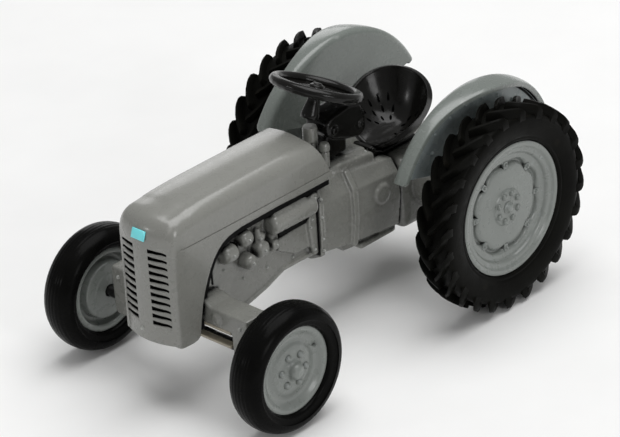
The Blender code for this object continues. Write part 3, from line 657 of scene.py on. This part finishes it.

# painted shadow: a black strip under the bonnet's lower edge, between bonnet and castings
bm = bmesh.new()
edge = [(10.7, 12.82), (13, 12.82), (16.5, 12.87), (19, 12.82), (20.3, 12.8), (21.1, 12.70), (21.7, 12.57),
        (22.3, 12.32), (22.8, 11.94), (23.3, 11.42), (23.7, 10.8), (24.1, 10.02), (24.45, 9.17), (24.75, 8.22),
        (25.0, 7.02), (25.15, 6.1)]
for s in (1, -1):
    rings = []
    for i, (x, z) in enumerate(edge):
        a, b = Vector(edge[max(0, i - 1)]), Vector(edge[min(len(edge) - 1, i + 1)])
        t = (b - a).normalized()
        nrm = Vector((t.y, -t.x))
        if nrm.y > 0:
            nrm = -nrm
        o = Vector((x, z)) + nrm * (0.72 if x < 21 else 0.80)
        q = Vector((x, z)) - nrm * 0.1
        rings.append([(q.x, s * 1.9, q.y), (q.x, s * 2.47, q.y), (o.x, s * 2.47, o.y), (o.x, s * 1.9, o.y)])
    loft(bm, rings)
place(raw(bm, "bonnet_edge_painted_shadow", [PAINTED_SHADE]), "chassis", "grey_enamel")

# ------------------------------------------------------------------ engine casting
bm = bmesh.new()
side = [(12.05, 6.55), (13.8, 6.6), (15.4, 6.6), (17.3, 5.9), (19.2, 5.48), (22.1, 5.48), (22.2, 8.25),
        (24.5, 8.25), (24.2, 9.8), (23.0, 11.7), (21.6, 12.5), (12.05, 12.5)]
prism(bm, side, -1.8, 1.8, w=0.2)
block(bm, (13.0, -1.4, 12.3), (22.6, 1.4, 14.6), 0.2)
for s in (1, -1):
    # sump rail and side flange at the bell housing
    prism(bm, [(12.05, 6.6), (13.8, 6.65), (15.4, 6.65), (17.3, 5.95), (19.2, 5.5), (22.05, 5.5), (22.05, 5.75),
               (19.3, 5.78), (17.4, 6.22), (15.5, 6.95), (12.05, 6.95)], s * 1.7, s * 1.98, w=0.08)
    prism(bm, [(12.02, 6.8), (12.5, 6.8), (12.75, 7.6), (12.95, 9.2), (12.95, 10.2), (12.45, 12.2), (12.02, 12.4)],
          s * 1.7, s * 2.35, w=0.12)
# left side: inlet manifold with its flange and the pad it sits on
rod(bm, (12.35, 2.30, 11.2), (17.1, 2.30, 11.25), 0.82, dome=0.42)
block(bm, (12.2, 1.6, 10.5), (12.75, 2.7, 12.1), 0.12)
block(bm, (13.1, 1.6, 10.6), (16.8, 2.6, 12.2), 0.28)
block(bm, (16.2, 1.6, 9.0), (17.0, 2.45, 10.5), 0.22)
rod(bm, (16.75, 1.6, 9.7), (16.75, 2.78, 9.7), 0.42, dome=0.16)
# pad below the manifold
prism(bm, [(12.2, 7.6), (14.2, 7.6), (16.0, 8.6), (16.0, 9.6), (12.2, 9.9)], 1.7, 2.12, w=0.12)
# carburettor, filter, dynamo, air cleaner
block(bm, (17.35, 1.6, 9.15), (18.6, 2.8, 10.35), 0.40, 4)
rod(bm, (17.95, 1.6, 10.75), (17.95, 2.55, 10.75), 0.34, dome=0.12)
rod(bm, (18.15, 2.2, 10.2), (18.15, 2.2, 11.5), 0.22, dome=0.08)
rod(bm, (19.45, 1.6, 9.4), (19.45, 3.02, 9.4), 0.64, 0.60, dome=0.45)
rod(bm, (19.0, 2.3, 11.35), (20.2, 2.3, 11.35), 0.64, dome=0.42)
rod(bm, (20.6, 2.3, 10.8), (22.0, 2.3, 10.8), 0.68, dome=0.38)
block(bm, (20.8, 1.6, 10.0), (21.8, 2.4, 10.6), 0.15)
prism(bm, [(22.9, 8.6), (23.6, 8.9), (23.7, 10.2), (23.3, 11.0), (22.8, 10.2)], 1.7, 2.05, w=0.1)
# right side: exhaust manifold with branches, starter
rod(bm, (13.4, -2.35, 11.3), (20.6, -2.35, 11.3), 0.58, dome=0.25)
for x in (14.2, 16.3, 18.4, 20.0):
    block(bm, (x - 0.4, -2.4, 11.0), (x + 0.4, -1.6, 12.2), 0.15)
rod(bm, (12.7, -2.35, 8.6), (15.8, -2.35, 8.6), 0.62, dome=0.15)
rod(bm, (15.6, -2.35, 8.6), (16.4, -2.35, 8.6), 0.36, dome=0.1)
block(bm, (18.6, -2.5, 8.2), (20.0, -1.6, 9.8), 0.25)
eng = cast(raw(bm, "engine_casting", [GREY]), 0.085, 3)
place(eng, "chassis", "grey_enamel", "engine_block", "manifold", "carburettor", "air_cleaner", "dynamo",
      "oil_filter", "exhaust_manifold", "starter_motor", all_smooth=True)

# painted shade: black strips in the gaps between engine castings; then bolt heads on the engine
bm = bmesh.new()
prism(bm, [(13.0, 9.72), (15.9, 9.82), (15.95, 10.42), (13.0, 10.42)], 1.9, 2.17, w=0.04)
prism(bm, [(20.42, 10.2), (20.56, 10.2), (20.56, 11.3), (20.42, 11.3)], 1.9, 2.5, w=0.03)
prism(bm, [(12.94, 10.1), (13.1, 10.1), (13.12, 11.2), (12.96, 11.2)], 1.9, 2.42, w=0.03)
prism(bm, [(22.62, 8.7), (22.74, 8.7), (22.80, 10.3), (22.66, 10.3)], 1.7, 1.95, w=0.03)
for s in (1, -1):
    prism(bm, [(11.96, 6.6), (12.06, 6.6), (12.06, 12.4), (11.96, 12.4)], s * 1.9, s * 2.40, w=0.02)
place(raw(bm, "casting_gap_painted_shade", [PAINTED_SHADE]), "chassis", "grey_enamel")
bm = bmesh.new()
for x, y, z in ((12.45, 2.66, 11.75), (12.45, 2.66, 10.75), (12.55, 2.33, 9.9), (12.75, 2.33, 9.3), (12.4, 2.33, 7.3),
                (16.4, 2.53, 11.4), (16.75, 2.76, 9.7), (17.95, 2.79, 9.75), (19.45, 3.0, 9.4), (21.3, 2.94, 10.8),
                (19.6, 2.9, 11.35), (19.5, 1.8, 7.8), (14.3, 1.8, 7.3), (17.0, 1.8, 7.6), (21.4, 1.8, 7.2),
                (21.4, 1.8, 9.3), (18.15, 2.54, 10.75)):
    stud(bm, (x, y, z), (0, 1, 0), 0.11, 0.11, 16)
for x, z in ((12.5, 9.8), (12.5, 7.4), (19.3, 9.0), (14.3, 7.3), (17.0, 7.6), (19.5, 7.4), (21.4, 7.2), (21.4, 9.3)):
    stud(bm, (x, -2.33 if x < 13 else (-2.47 if abs(x - 19.3) < 0.1 else -1.8), z), (0, -1, 0), 0.11, 0.11, 16)
place(raw(bm, "engine_studs", [GLINT]), "chassis", "grey_enamel")

# radiator block with its fins, seen through the nose from behind and below; it is drawn in the black painted shade that
# fills the nose
bm = bmesh.new()
block(bm, (24.75, -2.2, 5.9), (25.5, 2.2, 14.4), 0.12)
for k in range(16):
    z = 6.5 + 0.48 * k
    block(bm, (25.44, -1.95, z), (25.56, 1.95, z + 0.2), 0.04, 2)
place(raw(bm, "radiator_core", [PAINTED_SHADE]), "chassis", "grey_enamel", "radiator")

# ------------------------------------------------------------------ gearbox and rear axle
def section(x, pts):
    return [Vector((x, y, z)) for y, z in pts] + [Vector((x, -y, z)) for y, z in pts[::-1]]


bm = bmesh.new()
loft(bm, [section(11.98, ((1.2, 6.1), (2.3, 6.7), (2.5, 8.4), (2.45, 10.8), (1.8, 12.4))),
          section(8.1, ((1.1, 5.3), (2.2, 6.0), (2.45, 8.2), (2.4, 10.4), (1.7, 11.7))),
          section(3.1, ((1.2, 4.9), (2.2, 5.5), (2.5, 7.9), (2.4, 10.0), (1.7, 11.0)))])
loft(bm, [section(x, ((1.2, 5.0 + (0 if i else 0.12)), (2.42, 5.8), (2.72, 8.2), (2.64, 10.6), (1.85, 11.95)))
          for i, x in enumerate((7.85, 8.38))])
loft(bm, [section(x, ((1.3, 5.9), (2.5, 6.5), (2.66, 8.4), (2.6, 11.0), (1.9, 12.55))) for x in (11.55, 11.98)])
# top cover: sloping lid, raised pads, lever boss
prism(bm, [(4.6, 10.8), (9.6, 10.9), (9.5, 12.5), (8.2, 12.5), (5.2, 12.15), (4.6, 11.9)], -1.45, 1.45, w=0.22)
prism(bm, [(4.9, 11.9), (7.3, 12.1), (7.3, 12.55), (5.1, 12.4)], -0.95, 0.95, w=0.14)
block(bm, (8.5, -1.7, 11.4), (9.5, 1.75, 12.2), 0.2)
rod(bm, (5.05, 1.9, 8.95), (5.05, 2.66, 8.95), 0.92, 0.80, dome=0.18, seg=40)
rod(bm, (5.05, -2.66, 8.95), (5.05, -1.9, 8.95), 0.92, 0.80, dome=0.18, seg=40)
block(bm, (3.2, -2.0, 4.8), (7.2, 2.0, 5.35), 0.25)
box_ = cast(raw(bm, "gearbox_casting", [GREY]), 0.095, 4)
place(box_, "chassis", "grey_enamel", "gearbox_housing", all_smooth=True)

bm = bmesh.new()
block(bm, (-2.98, -2.58, 4.82), (3.02, 2.58, 10.88), 0.7, 5)
block(bm, (-3.0, -1.3, 6.2), (-2.5, 1.3, 9.4), 0.3)
for s in (1, -1):
    spin(bm, soft([(0, 2.2), (1.95, 2.2), (1.9, 3.0), (1.5, 4.6), (1.32, 6.2), (1.32, 6.6), (0, 6.6)], 0.3, 3),
         (0, 0, ZR), (0, s, 0), 48)
    spin(bm, soft([(0, 6.46), (1.7, 6.46), (2.03, 6.62), (2.05, 7.4), (1.98, 7.84), (0, 7.84)], 0.12, 3),
         (0, 0, ZR), (0, s, 0), 64)
    for k in range(8):
        a = math.radians(45 * k + 10)
        stud(bm, (1.72 * math.cos(a), s * 6.5, ZR + 1.72 * math.sin(a)), (0, -s, 0), 0.14, 0.12, 14)
ax = cast(raw(bm, "rear_axle_casting", [GREY]), 0.095, 3)
place(ax, "chassis", "grey_enamel", "rear_axle_housing", all_smooth=True)

bm = bmesh.new()
for x, z in ((11.76, 11.3), (11.76, 9.8), (11.76, 8.0), (11.76, 7.0)):
    for s in (1, -1):
        stud(bm, (x, s * 2.62, z), (0, s, 0), 0.1, 0.1, 14)
for x, y in ((5.3, 1.1), (5.3, -1.1), (8.9, 1.35), (8.9, -1.35), (9.2, 0.0)):
    stud(bm, (x, y, 12.5 if x > 8 and abs(y) < 1 else (12.2 if x > 8 else 12.15)), (0, 0, 1), 0.12, 0.1, 14)
for y in (-1.8, 1.8):
    for z in (5.9, 9.8):
        stud(bm, (-2.97, y, z), (-1, 0, 0), 0.14, 0.12, 14)
place(raw(bm, "gearbox_studs", [GLINT]), "chassis", "grey_enamel")

bm = bmesh.new()
zb, zt = 5.2, 5.9
prism(bm, soft([(-3.06, -0.6), (-3.06, 0.6), (-7.7, 0.9), (-8.4, 0.7), (-8.6, 0.3), (-8.6, -0.3), (-8.4, -0.7),
                (-7.7, -0.9)], 0.3, 4, closed=True), zb, zt, "XY", 0.09)
db = raw(bm, "drawbar_plate", [GREY, PAINTED_SHADE])
# the pin hole's wall takes the black painted shade
bm = bmesh.new()
spin(bm, [(0, 0), (0.28, 0), (0.28, 1.4), (0, 1.4)], (-7.9, 0, 4.9), (0, 0, 1), 28)
cutout(db, raw(bm, "pin_hole", [PAINTED_SHADE]))
place(db, "chassis", "grey_enamel", "drawbar")

# ------------------------------------------------------------------ front axle
bm = bmesh.new()
prism(bm, [(-7.0, 8.1), (-3.4, 8.1), (-2.6, 8.35), (2.6, 8.35), (3.4, 8.1), (7.0, 8.1), (7.0, 6.4), (6.9, 4.3), (6.75, 4.12),
           (5.6, 4.12), (5.45, 4.3), (5.35, 6.55), (-5.35, 6.55), (-5.45, 4.3), (-5.6, 4.12), (-6.75, 4.12),
           (-6.9, 4.3), (-7.0, 6.4)], 22.32, 24.48, "YZ", 0.2, 4)
for s in (1, -1):
    spin(bm, soft([(0, 5.6), (0.95, 5.6), (0.95, 7.05), (0.8, 7.2), (0, 7.2)], 0.1, 3), (BASE, 0, ZF), (0, s, 0), 40)
    rod(bm, (24.2, s * 3.9, 7.35), (24.66, s * 3.9, 7.35), 0.42, dome=0.16)
beam = cast(raw(bm, "front_axle_beam_cast", [GREY]), 0.085, 3)
place(beam, "chassis", "grey_enamel", "front_axle_beam", all_smooth=True)
bm = bmesh.new()
for s in (1, -1):
    stud(bm, (24.46, s * 6.3, 7.3), (1, 0, 0), 0.16, 0.14, 18)
place(raw(bm, "beam_studs", [GLINT]), "chassis", "grey_enamel")
# beige strips along the lower front edges of the axle beam
bm = bmesh.new()
for s in (1, -1):
    prism(bm, [(23.85, 5.28), (24.46, 5.28), (24.46, 5.50), (23.85, 5.50)], 1.6 * s if s > 0 else -5.2, 5.2 if s > 0 else -1.6,
          w=0.05)
    prism(bm, [(24.30, 6.46), (24.50, 6.46), (24.52, 6.72), (24.30, 6.72)], 2.6 * s if s > 0 else -5.3, 5.3 if s > 0 else -2.6,
          w=0.04)
place(raw(bm, "beam_beige_strips", [BUFF]), "chassis", "grey_enamel")

for name, end, r, c in (("front_axle_rod", "front", 0.42, (BASE, ZF)), ("rear_axle_rod", "rear", 0.6, (0.0, ZR))):
    lo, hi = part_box(name)
    h = hi.y / MM
    bm = bmesh.new()
    prof = [(0, -h), (r - 0.08, -h), (r, -h + 0.08)]
    for k in range(-3, 4):
        prof += [(r, k * h / 4 - 0.05), (r - 0.02, k * h / 4), (r, k * h / 4 + 0.05)]
    prof += [(r, h - 0.08), (r - 0.08, h), (0, h)]
    spin(bm, prof, (c[0], 0, c[1]), (0, 1, 0), 40)
    place(raw(bm, name + "_turned", [ROD]), "chassis", "blackened_rod", name)

# ------------------------------------------------------------------ fenders
FX, FZ, FR, FY, FT = -0.2, 8.0, 9.5, 6.4, 0.42
WIDTH = ((28, 1.3), (58, 1.3), (74, 1.65), (86, 2.1), (98, 2.3), (108, 2.2), (120, 1.75), (132, 1.25),
         (142, 0.95), (152, 0.75))
# painted light: the wheel-side face of each fender plate gets a lighter, bluer copy of the fender enamel to lift the
# flange's shadow
FENDER_INNER_LIT = finish_surface("fender_inner_painted_light", (0.27, 0.31, 0.31), 0.06, (0.22, 0.32),
                         shade_ao=(0.15, 0.4), shade_ao_dist=0.25, edge=((0.36, 0.38, 0.38), 0.4), coat=0.3)


def flange(a):
    for (a0, w0), (a1, w1) in zip(WIDTH, WIDTH[1:]):
        if a <= a1:
            u = (a - a0) / (a1 - a0)
            return w0 + (w1 - w0) * u
    return WIDTH[-1][1]


def fender(side, s):
    bm = bmesh.new()
    rings = []
    N = 96
    for i in range(N + 1):
        a = 28 + 124 * i / N
        ca, sa = math.cos(math.radians(a)), math.sin(math.radians(a))
        lean = 0.26 * abs(ca)
        r_in = 2.3 / (sa - lean) if sa > lean + 0.05 else FR
        # rounded ends
        end = min(a - 28, 152 - a)
        r_in = min(max(r_in, 2.5), FR - 0.75)
        # smoothed width
        w = sum(flange(min(152, max(28, a + d))) for d in (-6, -3, 0, 3, 6)) / 5
        if end < 3.0:
            w *= 0.80 + 0.20 * math.sqrt(max(0.0, 1 - (1 - end / 3.0) ** 2))
        top = FR - 0.0
        rc = 0.5
        drop = 0.10 * w
        sec = [(r_in + 0.05, 0.02), (r_in + 0.12, 0.0), ((r_in + FR - rc) / 2, 0.0), (FR - rc, 0.0)]
        for k in range(1, 7):
            b = math.radians(90 * k / 7)
            sec.append((top - rc + rc * math.sin(b), rc - rc * math.cos(b)))
        for k in range(0, 7):
            u = k / 6
            yy = rc + (w - 0.08 - rc) * u
            sec.append((top - drop * u * u * 1.0, yy))
        sec += [(top - drop - 0.05, w - 0.02), (top - drop - FT * 0.5, w), (top - drop - FT + 0.05, w - 0.02),
                (top - drop - FT, w - 0.10)]
        for k in range(1, 5):
            u = 1 - k / 5
            sec.append((top - FT - drop * u * u, rc + (w - 0.1 - rc) * u))
        sec += [(top - FT - 0.02, rc + 0.05), (top - FT - 0.08, FT + 0.10), (top - FT - 0.20, FT)]
        mark = len(sec)
        sec += [((r_in + FR - FT) / 2, FT), (r_in + 0.12, FT), (r_in + 0.05, FT - 0.02), (r_in, FT / 2)]
        rings.append([Vector((FX + r * ca, s * (FY + y), FZ + r * sa)) for r, y in sec])
    L = loft(bm, rings)
    bm.verts.ensure_lookup_table()
    m = len(rings[0])
    # the wheel-side face and its rivets take the lighter copy as painted light
    for f in bm.faces:
        c = f.calc_center_median()
        rr = math.hypot(c.x - FX, c.z - FZ)
        if abs(abs(c.y) - (FY + FT)) < 0.05 and rr < FR - FT:
            f.material_index = 1
    # rivets on the wheel side
    for r, a in ((7.8, 114), (7.8, 101), (7.8, 87), (7.75, 73.6), (7.8, 60), (6.8, 51), (7.8, 128), (7.7, 140)):
        q = math.radians(a)
        stud(bm, (FX + r * math.cos(q), s * (FY + FT), FZ + r * math.sin(q)), (0, s, 0), 0.16, 0.14, 18, mi=1)
    ob = raw(bm, side + "_fender_shell", [FENDG, FENDER_INNER_LIT])
    return place(ob, "chassis", "grey_enamel", side + "_fender", angle=34)


for side, s in (("left", 1), ("right", -1)):
    fender(side, s)
# painted shade: black line in the corner between plate and flange
bm = bmesh.new()
for s in (1, -1):
    rings = []
    for i in range(65):
        a = math.radians(29 + 122 * i / 64)
        ca, sa = math.cos(a), math.sin(a)
        rings.append([Vector((FX + r * ca, s * y, FZ + r * sa)) for r, y in
                      ((FR - FT - 0.30, FY + FT - 0.02), (FR - FT - 0.06, FY + FT + 0.02),
                       (FR - FT + 0.02, FY + FT + 0.16), (FR - FT - 0.03, FY + FT + 0.16), (FR - FT - 0.12, FY + FT + 0.06),
                       (FR - FT - 0.30, FY + FT + 0.02))])
    loft(bm, rings)
place(raw(bm, "fender_corner_painted_shade", [PAINTED_SHADE]), "chassis", "grey_enamel")

# ------------------------------------------------------------------ seat
SX, SY, SZ = 0.95, -0.3, 12.0


def seat_point(th, t):
    ct, st = math.cos(th), math.sin(th)
    lift = 3.8 * (0.5 - 0.5 * ct) ** 0.6 - 0.1
    sq = 0.85 if ct >= 0 else 1.0
    ex = abs(ct) ** sq * (1 if ct >= 0 else -1)
    ey = abs(st) ** sq * (1 if st >= 0 else -1)
    x, y = SX + 2.85 * ex * t, 3.05 * ey * t
    z = SZ + lift * t ** 2.6 - y * 0.19
    # crease down the middle and a shallow dish each side
    z += 0.10 * math.exp(-(y / 0.35) ** 2) * (1 - t * t) * (1 if ct > -0.2 else 0.4)
    return Vector((x, y + SY, z))


bm = bmesh.new()
T, COL = 26, 96
c0 = bm.verts.new(seat_point(0, 0.0))
grid = [[bm.verts.new(seat_point(2 * math.pi * c / COL, r / T)) for c in range(COL)] for r in range(1, T + 1)]
for c in range(COL):
    bm.faces.new((c0, grid[0][c], grid[0][(c + 1) % COL]))
for a, b in zip(grid, grid[1:]):
    for c in range(COL):
        bm.faces.new((a[c], b[c], b[(c + 1) % COL], a[(c + 1) % COL]))
me = bpy.data.meshes.new("seat_pan")
bm.to_mesh(me)
bm.free()
seat = bpy.data.objects.new("seat_pan", me)
bpy.context.scene.collection.objects.link(seat)
me.materials.append(BLACK)
me.materials.append(PAINTED_SHADE)
so = seat.modifiers.new("t", "SOLIDIFY")
so.thickness = 0.38
so.offset = -1.0
so.use_even_offset = False
bake(seat)
# drain slots, in two fans; their walls take the black painted shade
bm = bmesh.new()
for s in (1, -1):
    for row, (t, cnt) in enumerate(((0.34, 3), (0.52, 4), (0.68, 4))):
        for k in range(cnt):
            th = math.radians((90 + (k - (cnt - 1) / 2) * (38 - 8 * row)) + 14)
            th = th if s > 0 else -th
            p = seat_point(th, t)
            q = seat_point(th, t + 0.02)
            d = Vector((q.x - p.x, q.y - p.y, 0)).normalized()
            e = Vector((-d.y, d.x, 0))
            ring = [p + d * 0.20 * math.cos(j * math.pi / 6) + e * 0.10 * math.sin(j * math.pi / 6) for j in range(12)]
            loft(bm, [[Vector((v.x, v.y, p.z - 0.20)) for v in ring], [Vector((v.x, v.y, p.z + 0.6)) for v in ring]])
holes = raw(bm, "holes", [PAINTED_SHADE])
cutout(seat, holes)
place(seat, "chassis", "black_plastic", "seat", angle=50)
# rolled rim of the pan
bm = bmesh.new()
rings = []
for c in range(COL):
    th = 2 * math.pi * c / COL
    p, q = seat_point(th, 1.0), seat_point(th, 0.97)
    out = (p - q).normalized()
    up = Vector((0, 0, 1))
    k = p - up * 0.17 - out * 0.10
    rings.append([k + (out * math.cos(a) + up * math.sin(a)) * 0.2 for a in [2 * math.pi * j / 12 for j in range(12)]])
L = [[bm.verts.new(p) for p in ring] for ring in rings]
for i in range(COL):
    A, B = L[i], L[(i + 1) % COL]
    for j in range(12):
        bm.faces.new((A[j], A[(j + 1) % 12], B[(j + 1) % 12], B[j]))
place(raw(bm, "seat_rolled_rim", [BLACK]), "chassis", "black_plastic", angle=80)
# spring bracket below
bm = bmesh.new()
prism(bm, [(-0.6, 10.95), (3.0, 10.95), (3.25, 11.13), (4.3, 11.31), (4.45, 11.5), (4.45, 12.0), (4.1, 12.05),
           (3.95, 11.6), (3.3, 11.36), (3.1, 11.22), (-0.6, 11.2)], -0.85, 0.85, w=0.07)
prism(bm, soft([(-0.3, 11.1), (2.6, 11.1), (2.5, 11.8), (-0.1, 11.8)], 0.1, 2), -0.8, 0.6, w=0.1)
rod(bm, (4.2, -1.0, 11.75), (4.2, 1.0, 11.75), 0.22, dome=0.08)
for y in (-0.5, 0.5):
    stud(bm, (4.42, y, 11.75), (1, 0, 0), 0.13, 0.1, 14)
place(raw(bm, "seat_spring_bracket", [BLACK]), "chassis", "black_plastic", "seat_bracket")

# ------------------------------------------------------------------ steering
TILT = math.radians(24)
NRM = Vector((-math.sin(TILT), 0, math.cos(TILT)))
AX = Vector((math.cos(TILT), 0, math.sin(TILT)))
AY = Vector((0, 1, 0))
WC = Vector((8.9, 0, 18.6))


def on_wheel(r, a, h=0.0):
    return WC + (AX * math.cos(a) + AY * math.sin(a)) * r + NRM * h


bm = bmesh.new()
L = []
for c in range(112):
    a = 2 * math.pi * c / 112
    o = on_wheel(1, a) - WC
    g = 0.012 * math.cos(28 * a)         # finger grips underneath
    ring = []
    for j in range(20):
        q = 2 * math.pi * j / 20
        rr = 0.41 + (g if math.sin(q) < 0.2 else 0)
        ring.append(bm.verts.new(WC + o * (3.2 + rr * math.cos(q)) + NRM * (rr * math.sin(q))))
    L.append(ring)
for c in range(112):
    A, B = L[c], L[(c + 1) % 112]
    for j in range(20):
        bm.faces.new((A[j], A[(j + 1) % 20], B[(j + 1) % 20], B[j]))
for k in range(4):
    a = math.radians(45 + 90 * k)
    rings = []
    for i in range(9):
        u = i / 8
        r = 0.45 + (3.0 - 0.45) * u
        h = -0.25 * math.sin(math.pi * u) * 0.6
        wv = 0.26 - 0.06 * u
        tv = 0.16
        c = on_wheel(r, a, h)
        side_v = (on_wheel(1, a + math.pi / 2) - WC)
        rings.append([c + side_v * (wv * math.cos(q)) + NRM * (tv * math.sin(q)) for q in
                      [2 * math.pi * j / 12 for j in range(12)]])
    loft(bm, rings)
spin(bm, soft([(0, -0.48), (1.2, -0.46), (2.4, -0.34), (3.1, -0.14), (3.1, -0.02), (2.3, -0.22), (1.2, -0.33), (0, -0.34)], 0.05, 2),
     WC, NRM, 72)
spin(bm, soft([(0, -0.4), (0.62, -0.4), (0.66, -0.1), (0.55, 0.22), (0.34, 0.30), (0.30, 0.38), (0, 0.40)], 0.06, 2),
     WC, NRM, 36)
place(raw(bm, "steering_wheel_moulded", [BLACK]), "chassis", "black_plastic", "steering_wheel", angle=45)

bm = bmesh.new()
spin(bm, soft([(0, -2.35), (0.70, -2.35), (0.74, -2.1), (0.62, -1.5), (0.50, -1.0), (0.46, -0.45), (0, -0.45)], 0.1, 3),
     WC, NRM, 36)
place(raw(bm, "steering_column_cone", [BLACK]), "chassis", "black_plastic", "steering_column", angle=45)

bm = bmesh.new()
rings = []
for z, r in ((12.95, 0.62), (13.02, 0.66), (13.3, 0.63), (13.8, 0.60), (15.3, 0.58), (15.7, 0.57), (15.82, 0.52)):
    rings.append([Vector((9.9 + r * math.cos(q), r * math.sin(q), z)) for q in [2 * math.pi * j / 36 for j in range(36)]])
loft(bm, rings)
block(bm, (9.35, -0.5, 12.98), (10.45, 0.5, 13.45), 0.15)
stud(bm, (10.2, 0.52, 14.6), (0.5, 0.85, 0), 0.1, 0.1, 14)
place(raw(bm, "column_pillar", [GREY]), "chassis", "grey_enamel", "column_tube", angle=45)

bm = bmesh.new()
block(bm, (6.7, -0.65, 12.72), (8.9, 0.65, 15.0), 0.2)
prism(bm, [(9.1, 14.9), (9.1, 15.8), (8.4, 16.25), (6.6, 16.45), (5.3, 16.2), (4.8, 15.4), (4.85, 13.9), (5.5, 13.45),
           (6.8, 13.75), (8.2, 14.3)], -1.3, 1.0, w=0.3, seg=4)
rod(bm, (8.4, 0.8, 15.2), (8.4, 1.28, 15.2), 0.32, dome=0.12)
rod(bm, (5.5, 0.9, 14.6), (5.5, 1.2, 14.6), 0.26, dome=0.1)
ped = cast(raw(bm, "column_housing", [BLACK]), 0.08, 3)
place(ped, "chassis", "black_plastic", "steering_pedestal", all_smooth=True)

bm = bmesh.new()
spin(bm, soft([(0, 12.75), (0.36, 12.75), (0.36, 13.9), (0.30, 14.0), (0.42, 14.12), (0.42, 14.45), (0.30, 14.72),
               (0, 14.75)], 0.08, 3), (9.65, 1.16, 0), (0, 0, 1), 32)
place(raw(bm, "fuel_tap_knob", [GREY]), "chassis", "grey_enamel", "fuel_tap", angle=45)

# ------------------------------------------------------------------ floor, light, camera
bm = bmesh.new()
bmesh.ops.create_grid(bm, x_segments=40, y_segments=40, size=0.9)
me = bpy.data.meshes.new("studio_floor")
bm.to_mesh(me)
bm.free()
floor = bpy.data.objects.new("studio_floor", me)
bpy.context.scene.collection.objects.link(floor)
m, nt, b = nodes("floor_paper")
nt.links.new(ramp(nt, noise(nt, 90.0, 3.0), ((0.3, (0.86, 0.86, 0.855)), (0.7, (0.89, 0.89, 0.885)))), b.inputs["Base Color"])
b.inputs["Roughness"].default_value = 0.85
b.inputs["Specular IOR Level"].default_value = 0.2
me.materials.append(m)

w = bpy.data.worlds.new("studio")
bpy.context.scene.world = w
w.use_nodes = True
w.node_tree.nodes["Background"].inputs[0].default_value = (1.0, 1.0, 1.0, 1)
w.node_tree.nodes["Background"].inputs[1].default_value = 0.31


def lamp(name, pos, size, watts, target=(0, 0, 0.008), size_y=None):
    d = bpy.data.lights.new(name, "AREA")
    d.energy = watts
    d.size = size
    if size_y:
        d.shape = "RECTANGLE"
        d.size_y = size_y
    o = bpy.data.objects.new(name, d)
    bpy.context.scene.collection.objects.link(o)
    o.location = pos
    o.rotation_euler = (Vector(target) - Vector(pos)).to_track_quat("-Z", "Y").to_euler()
    return o


lamp("overhead_softbox", (-0.05, 0.02, 0.33), 0.30, 1.0, size_y=0.30)
lamp("back_left_softbox", (-0.22, -0.27, 0.105), 0.15, 0.10)
lamp("key_right_front", (0.34, -0.18, 0.125), 0.03, 0.055)
lamp("side_softbox", (0.08, 0.34, 0.16), 0.12, 0.24)

cam = bpy.data.cameras.new("camera")
cam.sensor_width = 36
cam.sensor_fit = "HORIZONTAL"
cam.lens = 3777.84 / 620 * 36
cam.clip_start = 0.01
cam.clip_end = 20
co = bpy.data.objects.new("camera", cam)
bpy.context.scene.collection.objects.link(co)
bpy.context.scene.camera = co
rot = Matrix(((-0.68668, -0.37629, 0.62200), (0.72485, -0.28920, 0.62527), (-0.05539, 0.88021, 0.47134)))
co.matrix_world = Matrix.Translation((0.186339 + REAR.x, 0.176811, 0.141578)) @ rot.to_4x4()
bpy.context.scene.view_settings.view_transform = "Standard"

bpy.context.view_layer.update()
